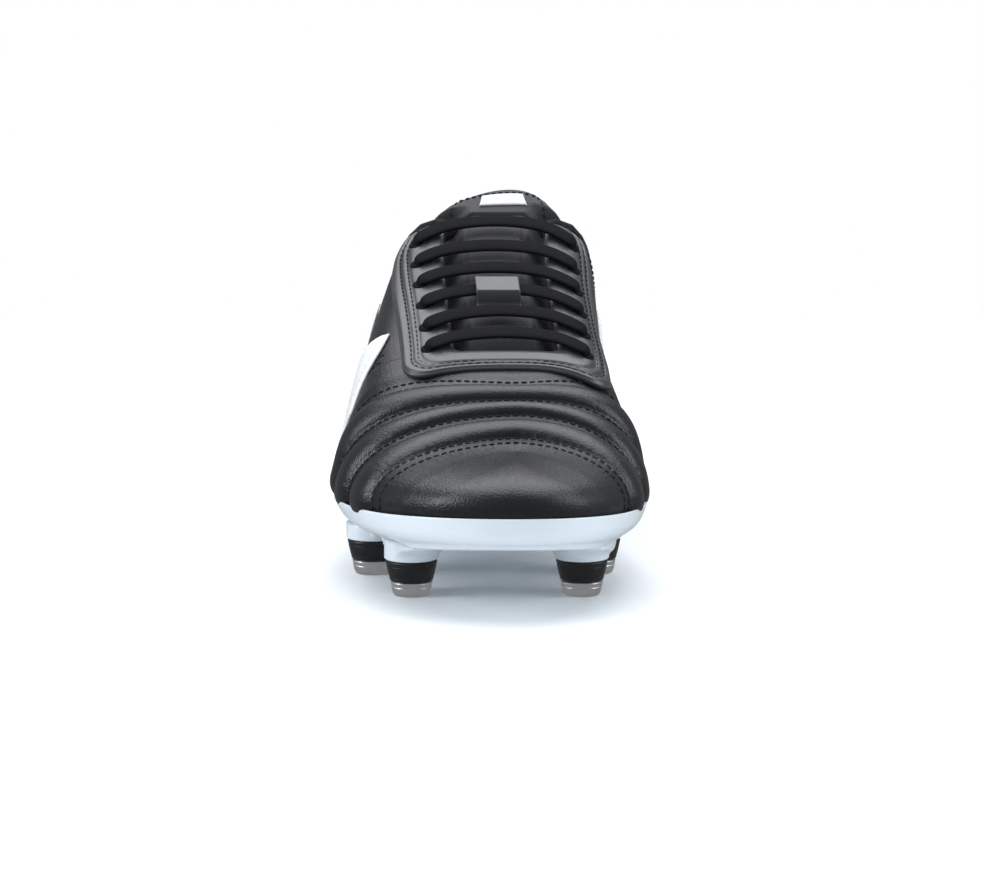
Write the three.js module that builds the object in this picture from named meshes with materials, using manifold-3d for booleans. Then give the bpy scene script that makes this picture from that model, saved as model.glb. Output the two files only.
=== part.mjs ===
// A right football boot for soft ground: a white moulded outsole with six screw-in studs under a quilted
// black upper, laced straight across six pairs of eyelets. Millimetres. X runs from the outer (lateral) side
// to the inner (medial) side, Y from toe to heel, Z up from the ground under the studs.
import * as THREE from "three";
import { mergeVertices } from "three/addons/utils/BufferGeometryUtils.js";
import Module from "manifold-3d";

const wasm = await Module();
wasm.setup();

// ---------------------------------------------------------------- driving sizes
const FORM_LENGTH = 280; // foot form, toe tip to heel
const BALL_WIDTH = 94; // foot form across the ball
const INSTEP_HEIGHT = 106; // foot form at the top of the lacing, above the ground
const TOE_SLOPE = 36; // how far the toe's crest starts behind its tip
const HEEL_SLOPE = 42; // the same at the heel

const FIT_GAP = 0.3; // between pieces that touch
const CURVED_GAP = 0.45; // between pieces that lie on each other over a curve
const LINING_THIN = 0.8; // lining over a stiffener
const STIFFENER = 0.8; // toe puff and heel stiffener
const SHELL = 1.3; // outer leather
const OVERLAY = 1.3; // eyestay and heel counter
const FLASH = 0.7; // side bands
const QUILT = 1.1; // height of the padded ribs on the vamp

const LACING_SIDE = -1.8; // the lacing's middle line, from the crest
const THROAT_HALF = 17.6; // from that line to each facing's edge, along the leather
const EYELET_OUT = 25.2; // from that line to each eyelet, along the leather
const EYELET_RADIUS = 2.5;
const EYELET_ROWS = 6;
const EYELET_PITCH = 12.5;
const EYELET_FIRST = 89; // station of the first row
const EYESTAY_OUT = 33.7; // from that line to the eyestay's outer edge
const LACE_RADIUS = 1.4;
const LACE_SIDES = 8;
const AGLET_LENGTH = 18;
const AGLET_RADIUS = 1.7;

const BOARD = 2.2; // insole board
const SOCKLINER = 3;
const SOLE_LIP = 1; // outsole's lip round the upper
const SOLE_WALL = 2.4; // outsole's side wall
const BED_DROP = 3.7; // from the form's bottom to the outsole's bed

const STUD_TIP = 4.6; // height of the metal tip
const STUD_TOP_RADIUS = 8.4;
const STUD_WAIST_RADIUS = 7;
const STUD_FOOT_RADIUS = 5.5;
const STUD_FLATS = 12; // across the tip's spanner flats
const FRONT_STUD = 11.6; // top of a forefoot stud above the ground
const HEEL_STUD = 14.6; // top of a heel stud above the ground
const PIN_RADIUS = 2.45;
const PIN_CLEARANCE = 0.3;
const PIN_IN_STUD = 3.6;
const PIN_IN_SOLE = 3.8;
const SOCKET_RADIUS = 4.2;
const SOCKET_HEIGHT = 4.2;
const PEDESTAL_FLARE = 2.6;

// ---------------------------------------------------------------- small tools
const clamp = (x, low, high) => Math.min(Math.max(x, low), high);
const mix = (a, b, s) => a + (b - a) * s;
const ease = (x) => {
  const s = clamp(x, 0, 1);
  return s * s * (3 - 2 * s);
};
const V = (x, y, z) => new THREE.Vector3(x, y, z);

/** A smooth curve through [x, y] pairs, flat beyond both ends. */
function curve(pairs) {
  const slopes = pairs.slice(1).map(([x, y], i) => (y - pairs[i][1]) / (x - pairs[i][0]));
  const tangents = pairs.map((_, i) => {
    if (i === 0) return slopes[0];
    if (i === slopes.length) return slopes[i - 1];
    return (slopes[i - 1] + slopes[i]) / 2;
  });
  return (at) => {
    const x = clamp(at, pairs[0][0], pairs[pairs.length - 1][0]);
    let i = 0;
    while (i < pairs.length - 2 && x > pairs[i + 1][0]) i += 1;
    const wide = pairs[i + 1][0] - pairs[i][0];
    const s = (x - pairs[i][0]) / wide;
    const [h00, h10] = [2 * s ** 3 - 3 * s ** 2 + 1, s ** 3 - 2 * s ** 2 + s];
    const [h01, h11] = [-2 * s ** 3 + 3 * s ** 2, s ** 3 - s ** 2];
    return (
      h00 * pairs[i][1] + h10 * wide * tangents[i] + h01 * pairs[i + 1][1] + h11 * wide * tangents[i + 1]
    );
  };
}

/** The value between low and high where a rising function reaches a target. */
function solve(rising, target, low, high) {
  let [a, b] = [low, high];
  for (let i = 0; i < 40; i += 1) {
    const middle = (a + b) / 2;
    if (rising(middle) < target) a = middle;
    else b = middle;
  }
  return (a + b) / 2;
}

/** One closed body facing out, with its doubled corners merged and its collapsed faces dropped. */
function seal(geometry) {
  const bare = new THREE.BufferGeometry();
  bare.setAttribute("position", geometry.getAttribute("position").clone());
  if (geometry.index) bare.setIndex(geometry.index.clone());
  const merged = mergeVertices(bare, 1e-3);
  const corners = [];
  const index = merged.index.array;
  const at = (i) => V().fromBufferAttribute(merged.attributes.position, i);
  let volume = 0;
  for (let i = 0; i < index.length; i += 3) {
    const [a, b, c] = [index[i], index[i + 1], index[i + 2]];
    if (a === b || b === c || a === c) continue;
    corners.push(a, b, c);
    volume += at(a).dot(at(b).cross(at(c)));
  }
  if (volume < 0) corners.reverse();
  merged.setIndex(corners);
  return merged;
}

function solidOf(geometry) {
  const whole = seal(geometry);
  return new wasm.Manifold(
    new wasm.Mesh({
      numProp: 3,
      vertProperties: new Float32Array(whole.attributes.position.array),
      triVerts: new Uint32Array(whole.index.array),
    }),
  );
}

function geometryOf(solid) {
  const mesh = solid.getMesh();
  const geometry = new THREE.BufferGeometry();
  geometry.setAttribute("position", new THREE.BufferAttribute(mesh.vertProperties, 3));
  geometry.setIndex(new THREE.BufferAttribute(mesh.triVerts, 1));
  return geometry;
}

/** A geometry with others taken away. */
const cut = (geometry, tools) =>
  geometryOf(tools.reduce((left, tool) => left.subtract(solidOf(tool)), solidOf(geometry)));

/** Turns the inner face's diagonals the same way as the outer face's, so stacked sheets stay parallel. */
function alignDiagonals(box) {
  const inner = box.groups[5];
  for (let i = inner.start; i < inner.start + inner.count; i += 6) {
    const [a, b, d] = [box.index.getX(i), box.index.getX(i + 1), box.index.getX(i + 2)];
    const c = box.index.getX(i + 4);
    [a, b, c, a, c, d].forEach((corner, k) => box.index.setX(i + k, corner));
  }
}

/** A sheet of nu by nv cells: place(u, v, w) gives each corner, with w 0 inside and 1 outside. */
function sheet(nu, nv, place) {
  const geometry = new THREE.BoxGeometry(1, 1, 1, nu, nv, 1);
  const p = geometry.attributes.position;
  for (let i = 0; i < p.count; i += 1) {
    const u = Math.round((p.getX(i) + 0.5) * nu) / nu;
    const v = Math.round((p.getY(i) + 0.5) * nv) / nv;
    const corner = place(u, v, Math.round(p.getZ(i) + 0.5));
    p.setXYZ(i, corner.x, corner.y, corner.z);
  }
  alignDiagonals(geometry);
  return seal(geometry);
}

/** A closed body of rings round the sole: the first and last rings are single points. */
function ringed(count, rings) {
  const profile = rings.map((_, k) => new THREE.Vector2(k % (rings.length - 1) ? 1 : 0, k));
  const geometry = new THREE.LatheGeometry(profile, count);
  const p = geometry.attributes.position;
  for (let i = 0; i < p.count; i += 1) {
    const corner = rings[i % rings.length](Math.floor(i / rings.length) % count);
    p.setXYZ(i, corner.x, corner.y, corner.z);
  }
  return seal(geometry);
}

/** A turned body on the Z axis from [radius, height] pairs that start and end on the axis. */
const turned = (pairs, sides) =>
  seal(new THREE.LatheGeometry(pairs.map(([r, z]) => new THREE.Vector2(r, z)), sides).rotateX(Math.PI / 2));

// ---------------------------------------------------------------- foot form
// The form is drawn at 280 mm long, 94 mm wide and 106 mm high at the lacing's top, then stretched.
const STRETCH = FORM_LENGTH / 280;
const SPREAD = BALL_WIDTH / 94;
const LIFT = INSTEP_HEIGHT / 106;
const station = (pairs, scale = 1) => curve(pairs.map(([t, y]) => [t * STRETCH, y * scale]));

const FORM = {
  lateral: station([[0, 47], [40, 48.5], [80, 51.5], [108, 52], [140, 48], [170, 41], [200, 35.5], [280, 33]], SPREAD),
  medial: station([[0, 41], [40, 42], [80, 42.5], [108, 40], [140, 35], [170, 32], [200, 31], [280, 32]], SPREAD),
  feather: station([[0, 28.5], [30, 25.8], [60, 23.6], [95, 22.5], [130, 23], [170, 24.5], [215, 26], [280, 26.5]]),
  bulge: station([[0, 8], [40, 7], [95, 9.5], [170, 13], [280, 16]]),
  crest: station(
    [
      [33, 45], [42, 48], [53, 54], [62, 58], [72, 62.5], [95, 72], [108, 79], [120, 85.5],
      [132, 92], [144, 99], [155, 106], [170, 112.5], [190, 117], [215, 120], [280, 123],
    ],
    LIFT,
  ),
  crestSide: station([[0, 4.8], [60, 4.8], [88, 3.4], [145, -0.9], [172, 1], [200, 0.5], [280, 0]]),
  fullness: station([[0, 2], [30, 1.9], [50, 2], [70, 2.7], [85, 4.4], [95, 5.6], [150, 6], [180, 4], [220, 2.7], [280, 2.4]]),
  leanLateral: station([[0, 0], [60, 0.06], [90, 0.18], [110, 0.2], [150, 0.2], [200, 0.05], [280, 0]]),
  leanMedial: station([[0, 0], [60, 0.06], [90, 0.24], [110, 0.29], [130, 0.24], [150, 0.15], [170, 0.06], [280, 0]]),
  collar: station(
    [[154, 122], [162, 112.5], [168, 105], [177, 95], [192, 86], [211, 81], [235, 83], [260, 91], [280, 96]],
    LIFT,
  ),
};
const TUCK = THREE.MathUtils.degToRad(125); // how far round the section the upper turns under the foot

/** How the outline closes towards an end: 0 at the tip, 1 from "reach" on. */
const round = (t, reach, power) => (t >= reach ? 1 : (1 - (1 - Math.max(t, 0) / reach) ** power) ** (1 / power));

function halfWidth(side, t) {
  const heel = round(FORM_LENGTH - t, 50, 2.1);
  if (side < 0) return FORM.lateral(t) * round(t, 80 * STRETCH, 2.25) * heel;
  return FORM.medial(t) * round(t, 75 * STRETCH, 2.25) * heel;
}

/** Where the section that starts at station t meets the crest. */
const crestAt = (t) =>
  Math.hypot(t, TOE_SLOPE) - Math.hypot(FORM_LENGTH - t, HEEL_SLOPE) + FORM_LENGTH - t;

/** A point of the form: side -1 or 1, station t, and h from 0 under the foot's edge to 1 on the crest. */
function formPoint(side, t, h) {
  const back = crestAt(t);
  const angle = TUCK * (1 - h);
  const power = angle < Math.PI / 2 ? FORM.fullness(t) : 2;
  const reach = (a) => (Math.abs(Math.sin(a)) ** power + Math.abs(Math.cos(a)) ** power) ** (-1 / power);
  const low = FORM.feather(t);
  const waist = low + FORM.bulge(t);
  let across = Math.sin(angle) * reach(angle);
  const rise = Math.cos(angle) * reach(angle);
  let z = waist + rise * (FORM.crest(back) - waist);
  if (rise > 0) across *= 1 - (side < 0 ? FORM.leanLateral(t) : FORM.leanMedial(t)) * rise;
  else z = waist - (rise / (Math.cos(TUCK) * reach(TUCK))) * (waist - low);
  const edge = 4 * Math.max(0, 1 - t / (100 * STRETCH)) ** 2 + side * halfWidth(side, t);
  return V(mix(FORM.crestSide(back), edge, across), mix(back, t, across), z);
}

/** A point above the form by a distance along its normal; the numbers run on past the tips and the crest. */
function form(side, t, h, above) {
  const [dt, dh] = [0.3, 0.004];
  const step = (s, at, up) => {
    if (at < 0) return step(-s, -at, up);
    if (at > FORM_LENGTH) return step(-s, 2 * FORM_LENGTH - at, up);
    if (up > 1) return step(-s, at, 2 - up);
    return formPoint(s, at, Math.max(up, 0));
  };
  const along = step(side, t + dt, h).sub(step(side, t - dt, h));
  if (t < dt || t > FORM_LENGTH - dt) along.y = 0;
  const up = step(side, t, h + dh).sub(step(side, t, h - dh));
  const normal = along.cross(up).normalize().multiplyScalar(side * above);
  const p = formPoint(side, t, h).add(normal);
  return V(p.x, p.y - FORM_LENGTH / 2, p.z);
}

/** The h at a height z on a section. */
const hAtHeight = (side, t, z) => solve((h) => formPoint(side, t, h).z, z, 0.3, 1);

/** The h at a distance from the crest, measured over the section. */
const sections = new Map();
function hAtSpan(side, t, span) {
  const key = `${side} ${t}`;
  if (!sections.has(key)) {
    const table = [[0, 1]];
    for (let i = 1; i <= 50; i += 1) {
      const step = formPoint(side, t, 1 - i / 50).distanceTo(formPoint(side, t, 1 - (i - 1) / 50));
      table.push([table[i - 1][0] + step, 1 - i / 50]);
    }
    sections.set(key, table);
  }
  const table = sections.get(key);
  let i = 0;
  while (i < table.length - 2 && span > table[i + 1][0]) i += 1;
  const s = (span - table[i][0]) / (table[i + 1][0] - table[i][0]);
  return mix(table[i][1], table[i + 1][1], clamp(s, 0, 1));
}

/** A point over the instep: span is measured from the lacing's middle line, minus to the lateral side. */
function instep(span, t, above) {
  const fromCrest = span + LACING_SIDE;
  const side = fromCrest < 0 ? -1 : 1;
  return form(side, t, hAtSpan(side, t, Math.abs(fromCrest)), above);
}

// ---------------------------------------------------------------- layers of the upper
const LINING_FULL = LINING_THIN + FIT_GAP + STIFFENER;
const SHELL_IN = LINING_FULL + FIT_GAP;
const SHELL_OUT = SHELL_IN + SHELL;
const OVERLAY_IN = SHELL_OUT + CURVED_GAP;
const OVERLAY_OUT = OVERLAY_IN + OVERLAY;

// Stitched rows of the vamp: station at the foot's edge, station at the crest, and padding height at the row.
const A_ROW = { foot: 29, crest: 28.5, puff: -0.3 };
const ROWS = [
  A_ROW,
  { foot: 41, crest: 36, puff: QUILT },
  { foot: 54, crest: 44, puff: -0.3 },
  { foot: 67, crest: 49, puff: QUILT },
  { foot: 80, crest: 54.5, puff: -0.3 },
  { foot: 92, crest: 60, puff: QUILT },
  { foot: 105, crest: 66, puff: -0.3 },
  { foot: 109, crest: 73, puff: -0.2 },
  { foot: 113, crest: 80, puff: 0, tab: 6.5 },
];
const VAMP_FOOT = ROWS[ROWS.length - 1].foot * STRETCH;
const VAMP_CREST = ROWS[ROWS.length - 1].crest * STRETCH;
const CAP_ROWS = 6; // rows between the toe tip and the first stitched row
const PUFF_ROWS = 5; // rows that the toe puff covers
const VAMP_ROWS = CAP_ROWS + ROWS.length - 1;
const VAMP_ACROSS = 20;

const CAP_REACH = (() => {
  let length = 0;
  for (let i = 0; i < 20; i += 1) length += formPoint(1, 0, i / 20).distanceTo(formPoint(1, 0, (i + 1) / 20));
  return length;
})();

/** The place on the form of a vamp row r, 0 at the toe tip, at p from -1 lateral edge to 1 medial edge. */
function vampPlace(r, p) {
  const side = p < 0 ? -1 : 1;
  const q = 1 - Math.abs(p);
  let row = ROWS[Math.max(r - CAP_ROWS, 0)];
  let [foot, crest, top] = [row.foot * STRETCH, row.crest * STRETCH, 1];
  if (r < CAP_ROWS) {
    const share = r / CAP_ROWS;
    const last = CAP_REACH + crestAt(A_ROW.crest * STRETCH) - crestAt(0);
    const run = share * last;
    foot *= share ** 2;
    crest = run > CAP_REACH ? solve(crestAt, crestAt(0) + run - CAP_REACH, 0, FORM_LENGTH / 2) : 0;
    top = Math.min(run / CAP_REACH, 1);
    row = { puff: 0.2 * share };
  }
  const tab = (row.tab ?? 0) * STRETCH * ease((q - 0.86) / 0.14); // runs on under the eyestay's front
  const t = mix(Math.sqrt(foot), Math.sqrt(crest), q) ** 2 + tab;
  return { side, t, h: top * q, puff: row.puff * ease((top * q - 0.14) / 0.16) };
}

function vampSheet(inside, outside, firstRow, lastRow) {
  const rows = lastRow - firstRow;
  return sheet(VAMP_ACROSS, rows, (u, v, w) => {
    const r = firstRow + Math.round(v * rows);
    const at = vampPlace(r, 2 * u - 1);
    if (r === 0) Object.assign(at, { side: 1, t: 0, h: 0 });
    return form(at.side, at.t, at.h, w ? outside(r, at.puff) : inside);
  });
}

/** The station of the vamp's back edge at h, and of the quarter's front edge a gap behind it. */
const vampBack = (h) => mix(Math.sqrt(VAMP_FOOT), Math.sqrt(VAMP_CREST), h) ** 2;

const FACING_END = 161 * STRETCH;
function quarterTop(side, t) {
  const throat = THROAT_HALF + side * LACING_SIDE + 0.4;
  return Math.min(hAtSpan(side, Math.min(t, FACING_END + 8), throat), hAtHeight(side, t, FORM.collar(t)));
}

const QUARTER_LONG = 20;
const QUARTER_HIGH = 10;
/** The place on the form of a quarter at u from its front edge to the heel seam and v from foot to top. */
function quarterPlace(side, u, v) {
  const left = (1 - u) * (1 - u ** 3);
  let h = v * 0.9;
  let t = 0;
  for (let i = 0; i < 6; i += 1) {
    t = FORM_LENGTH - (FORM_LENGTH - vampBack(h) - 2 * CURVED_GAP) * left;
    h = v * quarterTop(side, t);
  }
  return { side, t, h };
}

/** A point of a quarter, kept its half of the gap away from the heel seam. */
function quarterPoint(side, u, v, above) {
  const at = quarterPlace(side, u, v);
  const p = form(side, at.t, at.h, above);
  p.x = side * Math.max(side * p.x, FIT_GAP / 2 + 0.05);
  return p;
}

const STIFF_LONG = 9; // cells of a quarter that the heel stiffener covers, from the seam
const STIFF_HIGH = 5; // and from the foot's edge

function quarterLining(side) {
  return sheet(QUARTER_LONG, QUARTER_HIGH, (u, v, w) => {
    const stiff = u * QUARTER_LONG > QUARTER_LONG - STIFF_LONG - 0.5 && v * QUARTER_HIGH < STIFF_HIGH + 0.5;
    const outside = stiff ? LINING_THIN : LINING_FULL;
    return quarterPoint(side, u, v, w ? outside : 0);
  });
}

const quarterShell = (side) =>
  sheet(QUARTER_LONG, QUARTER_HIGH, (u, v, w) => quarterPoint(side, u, v, w ? SHELL_OUT : SHELL_IN));

function heelStiffener() {
  return sheet(2 * STIFF_LONG, STIFF_HIGH, (u, v, w) => {
    const side = u < 0.5 ? -1 : 1;
    const share = 1 - (Math.abs(2 * u - 1) * STIFF_LONG) / QUARTER_LONG;
    const at = quarterPlace(side, share, (v * STIFF_HIGH) / QUARTER_HIGH);
    return form(side, at.t, at.h, LINING_THIN + FIT_GAP + (w ? STIFFENER : 0));
  });
}

/** The padding round the collar's inside, from one ankle round the heel to the other. */
function collarPadding() {
  return sheet(24, 2, (u, v, w) => {
    const side = u < 0.5 ? -1 : 1;
    const left = Math.abs(2 * u - 1);
    const t = FORM_LENGTH - 74 * STRETCH * left ** 1.8;
    const h = quarterTop(side, t) - mix(0.1, 0.01, v);
    const swell = v > 0 && v < 1 ? 4.4 : 2.4;
    return form(side, t, h, w ? -FIT_GAP - 0.15 : -FIT_GAP - swell * Math.min(1, 0.4 + 4 * (1 - left)));
  });
}

/** The moulded counter round the outside of the heel. */
function heelCounter(bite) {
  return sheet(20, 4, (u, v, w) => {
    const side = u < 0.5 ? -1 : 1;
    const left = Math.abs(2 * u - 1);
    const t = FORM_LENGTH - 58 * STRETCH * left ** 1.9;
    const low = bite(side, t);
    const high = mix(quarterTop(side, FORM_LENGTH) - 0.12, low + 0.16, ease(left) * 0.9);
    const edge = v === 0 || v === 1 || u === 0 || u === 1;
    return form(side, t, mix(low, high, v), w ? OVERLAY_OUT - (edge ? 0.5 : 0) : OVERLAY_IN);
  });
}

// ---------------------------------------------------------------- eyestay
const EYESTAY_FRONT = 75 * STRETCH;
const THROAT_BASE = 87.5 * STRETCH;
const eyeletStation = (row) => EYELET_FIRST * STRETCH + row * EYELET_PITCH * STRETCH;

/** The eyestay's inner and outer edges at s from -1, the lateral top, round the front to 1. */
function eyestayEdges(s) {
  const side = Math.sign(s) || 1;
  const arm = Math.abs(s);
  const [bend, turn] = [0.24, 0.42]; // the front bar ends at bend, the corner at turn
  const up = (from) => mix(from, FACING_END, (arm - turn) / (1 - turn));
  const inner = THROAT_HALF - 0.3;
  const angle = ((arm - bend) / (turn - bend)) * (Math.PI / 2);
  const [small, big] = [4, 9];
  if (arm <= bend) {
    const share = arm / bend;
    return { in: [side * share * (inner - small), THROAT_BASE], out: [side * share * (EYESTAY_OUT - big), EYESTAY_FRONT] };
  }
  if (arm < turn) {
    const [c, d] = [Math.sin(angle), 1 - Math.cos(angle)];
    return {
      in: [side * (inner - small + small * c), THROAT_BASE + small * d],
      out: [side * (EYESTAY_OUT - big + big * c), EYESTAY_FRONT + big * d],
    };
  }
  const tip = ease((arm - 0.94) / 0.06) * 3;
  return { in: [side * inner, up(THROAT_BASE + small)], out: [side * (EYESTAY_OUT - tip), up(EYESTAY_FRONT + big)] };
}

const EYESTAY_LONG = 40;
const EYESTAY_WIDE = 4;
function eyestay() {
  return sheet(EYESTAY_LONG, EYESTAY_WIDE, (u, v, w) => {
    const edges = eyestayEdges(2 * u - 1);
    const [span, t] = [mix(edges.in[0], edges.out[0], v), mix(edges.in[1], edges.out[1], v)];
    const edge = v === 0 || v === 1 || u === 0 || u === 1;
    return instep(span, t, w ? OVERLAY_OUT - (edge ? 0.4 : 0) : OVERLAY_IN);
  });
}

/** A tool that punches one eyelet through every layer. */
function eyeletPunch(side, row) {
  const low = instep(side * EYELET_OUT, eyeletStation(row), -3);
  const high = instep(side * EYELET_OUT, eyeletStation(row), OVERLAY_OUT + 3);
  const tool = new THREE.CylinderGeometry(EYELET_RADIUS, EYELET_RADIUS, low.distanceTo(high), 8);
  const turn = new THREE.Quaternion().setFromUnitVectors(V(0, 1, 0), high.clone().sub(low).normalize());
  return tool.applyQuaternion(turn).translate(...low.add(high).multiplyScalar(0.5).toArray());
}
const punches = (side) => Array.from({ length: EYELET_ROWS }, (_, row) => eyeletPunch(side, row));

// ---------------------------------------------------------------- tongue
const TONGUE_START = 80 * STRETCH;
const TONGUE_BREAK = 167 * STRETCH;
const TONGUE_SIDE = -LACE_RADIUS * 2 - 2.6; // the tongue's outside under the facings
const TONGUE_CENTRE = 3.2; // and between them
const TONGUE_THICK = 4.6;
const FLAP_LENGTH = 13.5; // free end above the lacing
const FLAP_RISE = 44; // its slope in degrees
const LACE_OVER_TONGUE = TONGUE_CENTRE + FIT_GAP + LACE_RADIUS;

function tonguePoint(span, t, w) {
  const open = ease((t - 90 * STRETCH) / (12 * STRETCH));
  const raised = 1 - ease((Math.abs(span) - 9) / 9);
  const tucked = mix(-FIT_GAP - 0.2, TONGUE_SIDE, ease((t - 84 * STRETCH) / (6 * STRETCH)));
  const outside = mix(tucked, TONGUE_CENTRE, raised * open);
  const thick = mix(2.4, TONGUE_THICK, open);
  const under = mix(outside - thick, Math.min(outside, TONGUE_SIDE) - thick, 0.55 * open);
  return instep(span, t, w ? outside : under);
}
const tongueHalf = (t) => mix(23, 27.5, ease((t - TONGUE_START) / (40 * STRETCH)));

function tongueBody() {
  return sheet(12, 12, (u, v, w) => {
    const t = mix(TONGUE_START, TONGUE_BREAK, v);
    return tonguePoint((2 * u - 1) * tongueHalf(t), t, w);
  });
}

/** The tongue's free end: it leaves the body's last section and rises more steeply. */
function flapPoint(u, v, w, above = 0) {
  const half = tongueHalf(TONGUE_BREAK) * mix(0.92, 0.72, v ** 3);
  const from = tonguePoint((2 * u - 1) * half, TONGUE_BREAK, w);
  const slope = THREE.MathUtils.degToRad(FLAP_RISE);
  const run = 2.5 * FIT_GAP + v * FLAP_LENGTH * (1 - 0.36 * (2 * u - 1) ** 2);
  const fade = w ? -0.6 * v : 0.8 * v;
  const move = V(0, Math.cos(slope), Math.sin(slope)).multiplyScalar(run);
  return from.add(move).add(V(0, -Math.sin(slope), Math.cos(slope)).multiplyScalar(above + fade));
}
const tongueFlap = () => sheet(10, 4, (u, v, w) => flapPoint(u, v, w));
const tongueLabel = () =>
  sheet(4, 2, (u, v, w) => flapPoint(mix(0.36, 0.64, u), mix(0.32, 0.78, v), 1, FIT_GAP + 0.4 + 0.6 * w));

const ARCH = 6.5; // how far each lace bar bows towards the top of the tongue
const KEEPER_HALF = 7.5;
const KEEPER_ROW = 2;
function laceKeeper() {
  const middle = eyeletStation(KEEPER_ROW) + ARCH * STRETCH;
  return sheet(4, 8, (u, v, w) => {
    const lift = ease(1.35 - Math.abs(2 * v - 1) * 1.7);
    const under = mix(TONGUE_CENTRE + FIT_GAP + 0.15, LACE_OVER_TONGUE + LACE_RADIUS + 3, lift);
    return instep((2 * u - 1) * KEEPER_HALF, middle + (2 * v - 1) * 7, under + w);
  });
}

// ---------------------------------------------------------------- side bands
const BAND_CLEAR = 0.15; // the bands' extra gap, over the quarters' flat facets

/** Each band's lower end and upper end, as station and height, and its width. */
const BANDS = {
  lateral: { wide: [[98, 44], [116, 64], 21], narrow: [[132, 46], [144, 80], 8] },
  medial: { wide: [[136, 40], [178, 74], 11], narrow: [[153, 40], [193, 71], 6] },
};

/** A band on a quarter, from low at the front to high at the back. */
function flash(side, from, to, wide) {
  return sheet(10, 8, (u, v, w) => {
    const t = mix(from[0], to[0], u) * STRETCH + (v - 0.5) * wide;
    const z = mix(from[1], to[1], u) + 3 * Math.sin(Math.PI * u) - (v - 0.5) * wide * 0.75;
    return form(side, t, hAtHeight(side, t, z), OVERLAY_IN + BAND_CLEAR + FLASH * w);
  });
}

// ---------------------------------------------------------------- sole unit
const SOLE_ROUND = 56;
const soleSide = (i) => (i <= SOLE_ROUND / 2 ? -1 : 1);
const soleStation = (i) => (FORM_LENGTH * (1 - Math.cos((2 * Math.PI * i) / SOLE_ROUND))) / 2;

const BITE = station([[0, 33], [25, 30.4], [60, 28], [95, 27.2], [140, 28.5], [200, 31.5], [280, 34]]);
const UNDERSIDE = station([[0, 22.5], [30, 18], [60, 16.2], [95, 15.6], [130, 16.4], [170, 18.4], [215, 19.6], [280, 20.6]]);
const RIM_IN = SHELL_OUT + 2 * CURVED_GAP + 0.1;

/** The h of the line where the outsole's lip ends. */
const biteLine = (side, t) => solve((h) => form(side, t, h, RIM_IN).z, BITE(t), 0, 0.5);

/** A level point inside the outline: share 0 is the middle of the sole, 1 its edge at station i. */
function bedPoint(i, share, inset, height) {
  const edge = form(soleSide(i), soleStation(i), 0, 0);
  const middle = V(0, 0, 0);
  const out = edge.clone().sub(middle).setZ(0);
  const p = middle.add(out.multiplyScalar(share * (1 - inset / out.length())));
  return p.setZ(height(p.y + FORM_LENGTH / 2));
}

function layer(bottom, thick, inset) {
  const low = (t) => FORM.feather(t) + bottom;
  const high = (t) => FORM.feather(t) + bottom + thick;
  const rings = [0, 0.5, 1].map((share) => (i) => bedPoint(i, share, inset, high));
  return ringed(SOLE_ROUND, [...rings, ...[1, 0.5, 0].map((share) => (i) => bedPoint(i, share, inset, low))]);
}
const insoleBoard = () => layer(-BED_DROP + FIT_GAP, BOARD, 0.6);
const sockliner = () => layer(-BED_DROP + 2 * FIT_GAP + BOARD, SOCKLINER, 0.9);

function outsolePlate() {
  const bed = (t) => FORM.feather(t) - BED_DROP;
  const wall = (share, above) => (i) => {
    const [side, t] = [soleSide(i), soleStation(i)];
    return form(side, t, share * biteLine(side, t), above);
  };
  const under = (share, inset, lift) => (i) => {
    const p = form(soleSide(i), soleStation(i), 0, RIM_IN + SOLE_WALL * 0.35);
    const flat = V(p.x, p.y, 0);
    flat.multiplyScalar(share * (1 - inset / flat.length()));
    return flat.setZ(UNDERSIDE(flat.y + FORM_LENGTH / 2) + lift);
  };
  const corner = (i) => {
    const p = form(soleSide(i), soleStation(i), 0, RIM_IN + 0.2);
    return p.setZ(bed(p.y + FORM_LENGTH / 2));
  };
  return ringed(SOLE_ROUND, [
    ...[0, 0.5, 1].map((share) => (i) => bedPoint(i, share, 0.3, bed)),
    corner,
    wall(0.5, RIM_IN),
    wall(1, RIM_IN),
    wall(0.98, RIM_IN + SOLE_LIP),
    wall(0.5, RIM_IN + SOLE_WALL),
    under(1, 0, 1.6),
    under(1, 1.6, 0),
    under(0.5, 0, 0),
    under(0, 0, 0),
  ]);
}

const STUDS = [
  { name: "front_lateral", x: -29, t: 45, top: FRONT_STUD, flare: 5 },
  { name: "front_medial", x: 26, t: 46, top: FRONT_STUD, flare: 5 },
  { name: "ball_lateral", x: -43, t: 83, top: FRONT_STUD, flare: 1.2 },
  { name: "ball_medial", x: 31.5, t: 84, top: FRONT_STUD, flare: 1.6 },
  { name: "heel_lateral", x: -19, t: 238, top: HEEL_STUD, flare: PEDESTAL_FLARE },
  { name: "heel_medial", x: 18, t: 238, top: HEEL_STUD, flare: PEDESTAL_FLARE },
];
const studPlace = ({ x, t }) => [x * SPREAD, (t - 140) * STRETCH];

/** The part of the sole that stands out round one stud's socket. */
function pedestal(stud) {
  const seat = stud.top + FIT_GAP;
  const root = mix(UNDERSIDE(stud.t * STRETCH), FORM.feather(stud.t * STRETCH) - BED_DROP, 0.6);
  const wide = STUD_TOP_RADIUS + 0.3;
  const high = root - seat;
  return turned(
    [
      [0, seat], [wide, seat], [wide + 0.2, seat + 0.25 * high], [wide + 0.35 * stud.flare, seat + 0.6 * high],
      [wide + stud.flare, root], [0, root],
    ],
    18,
  ).translate(...studPlace(stud), 0);
}

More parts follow.
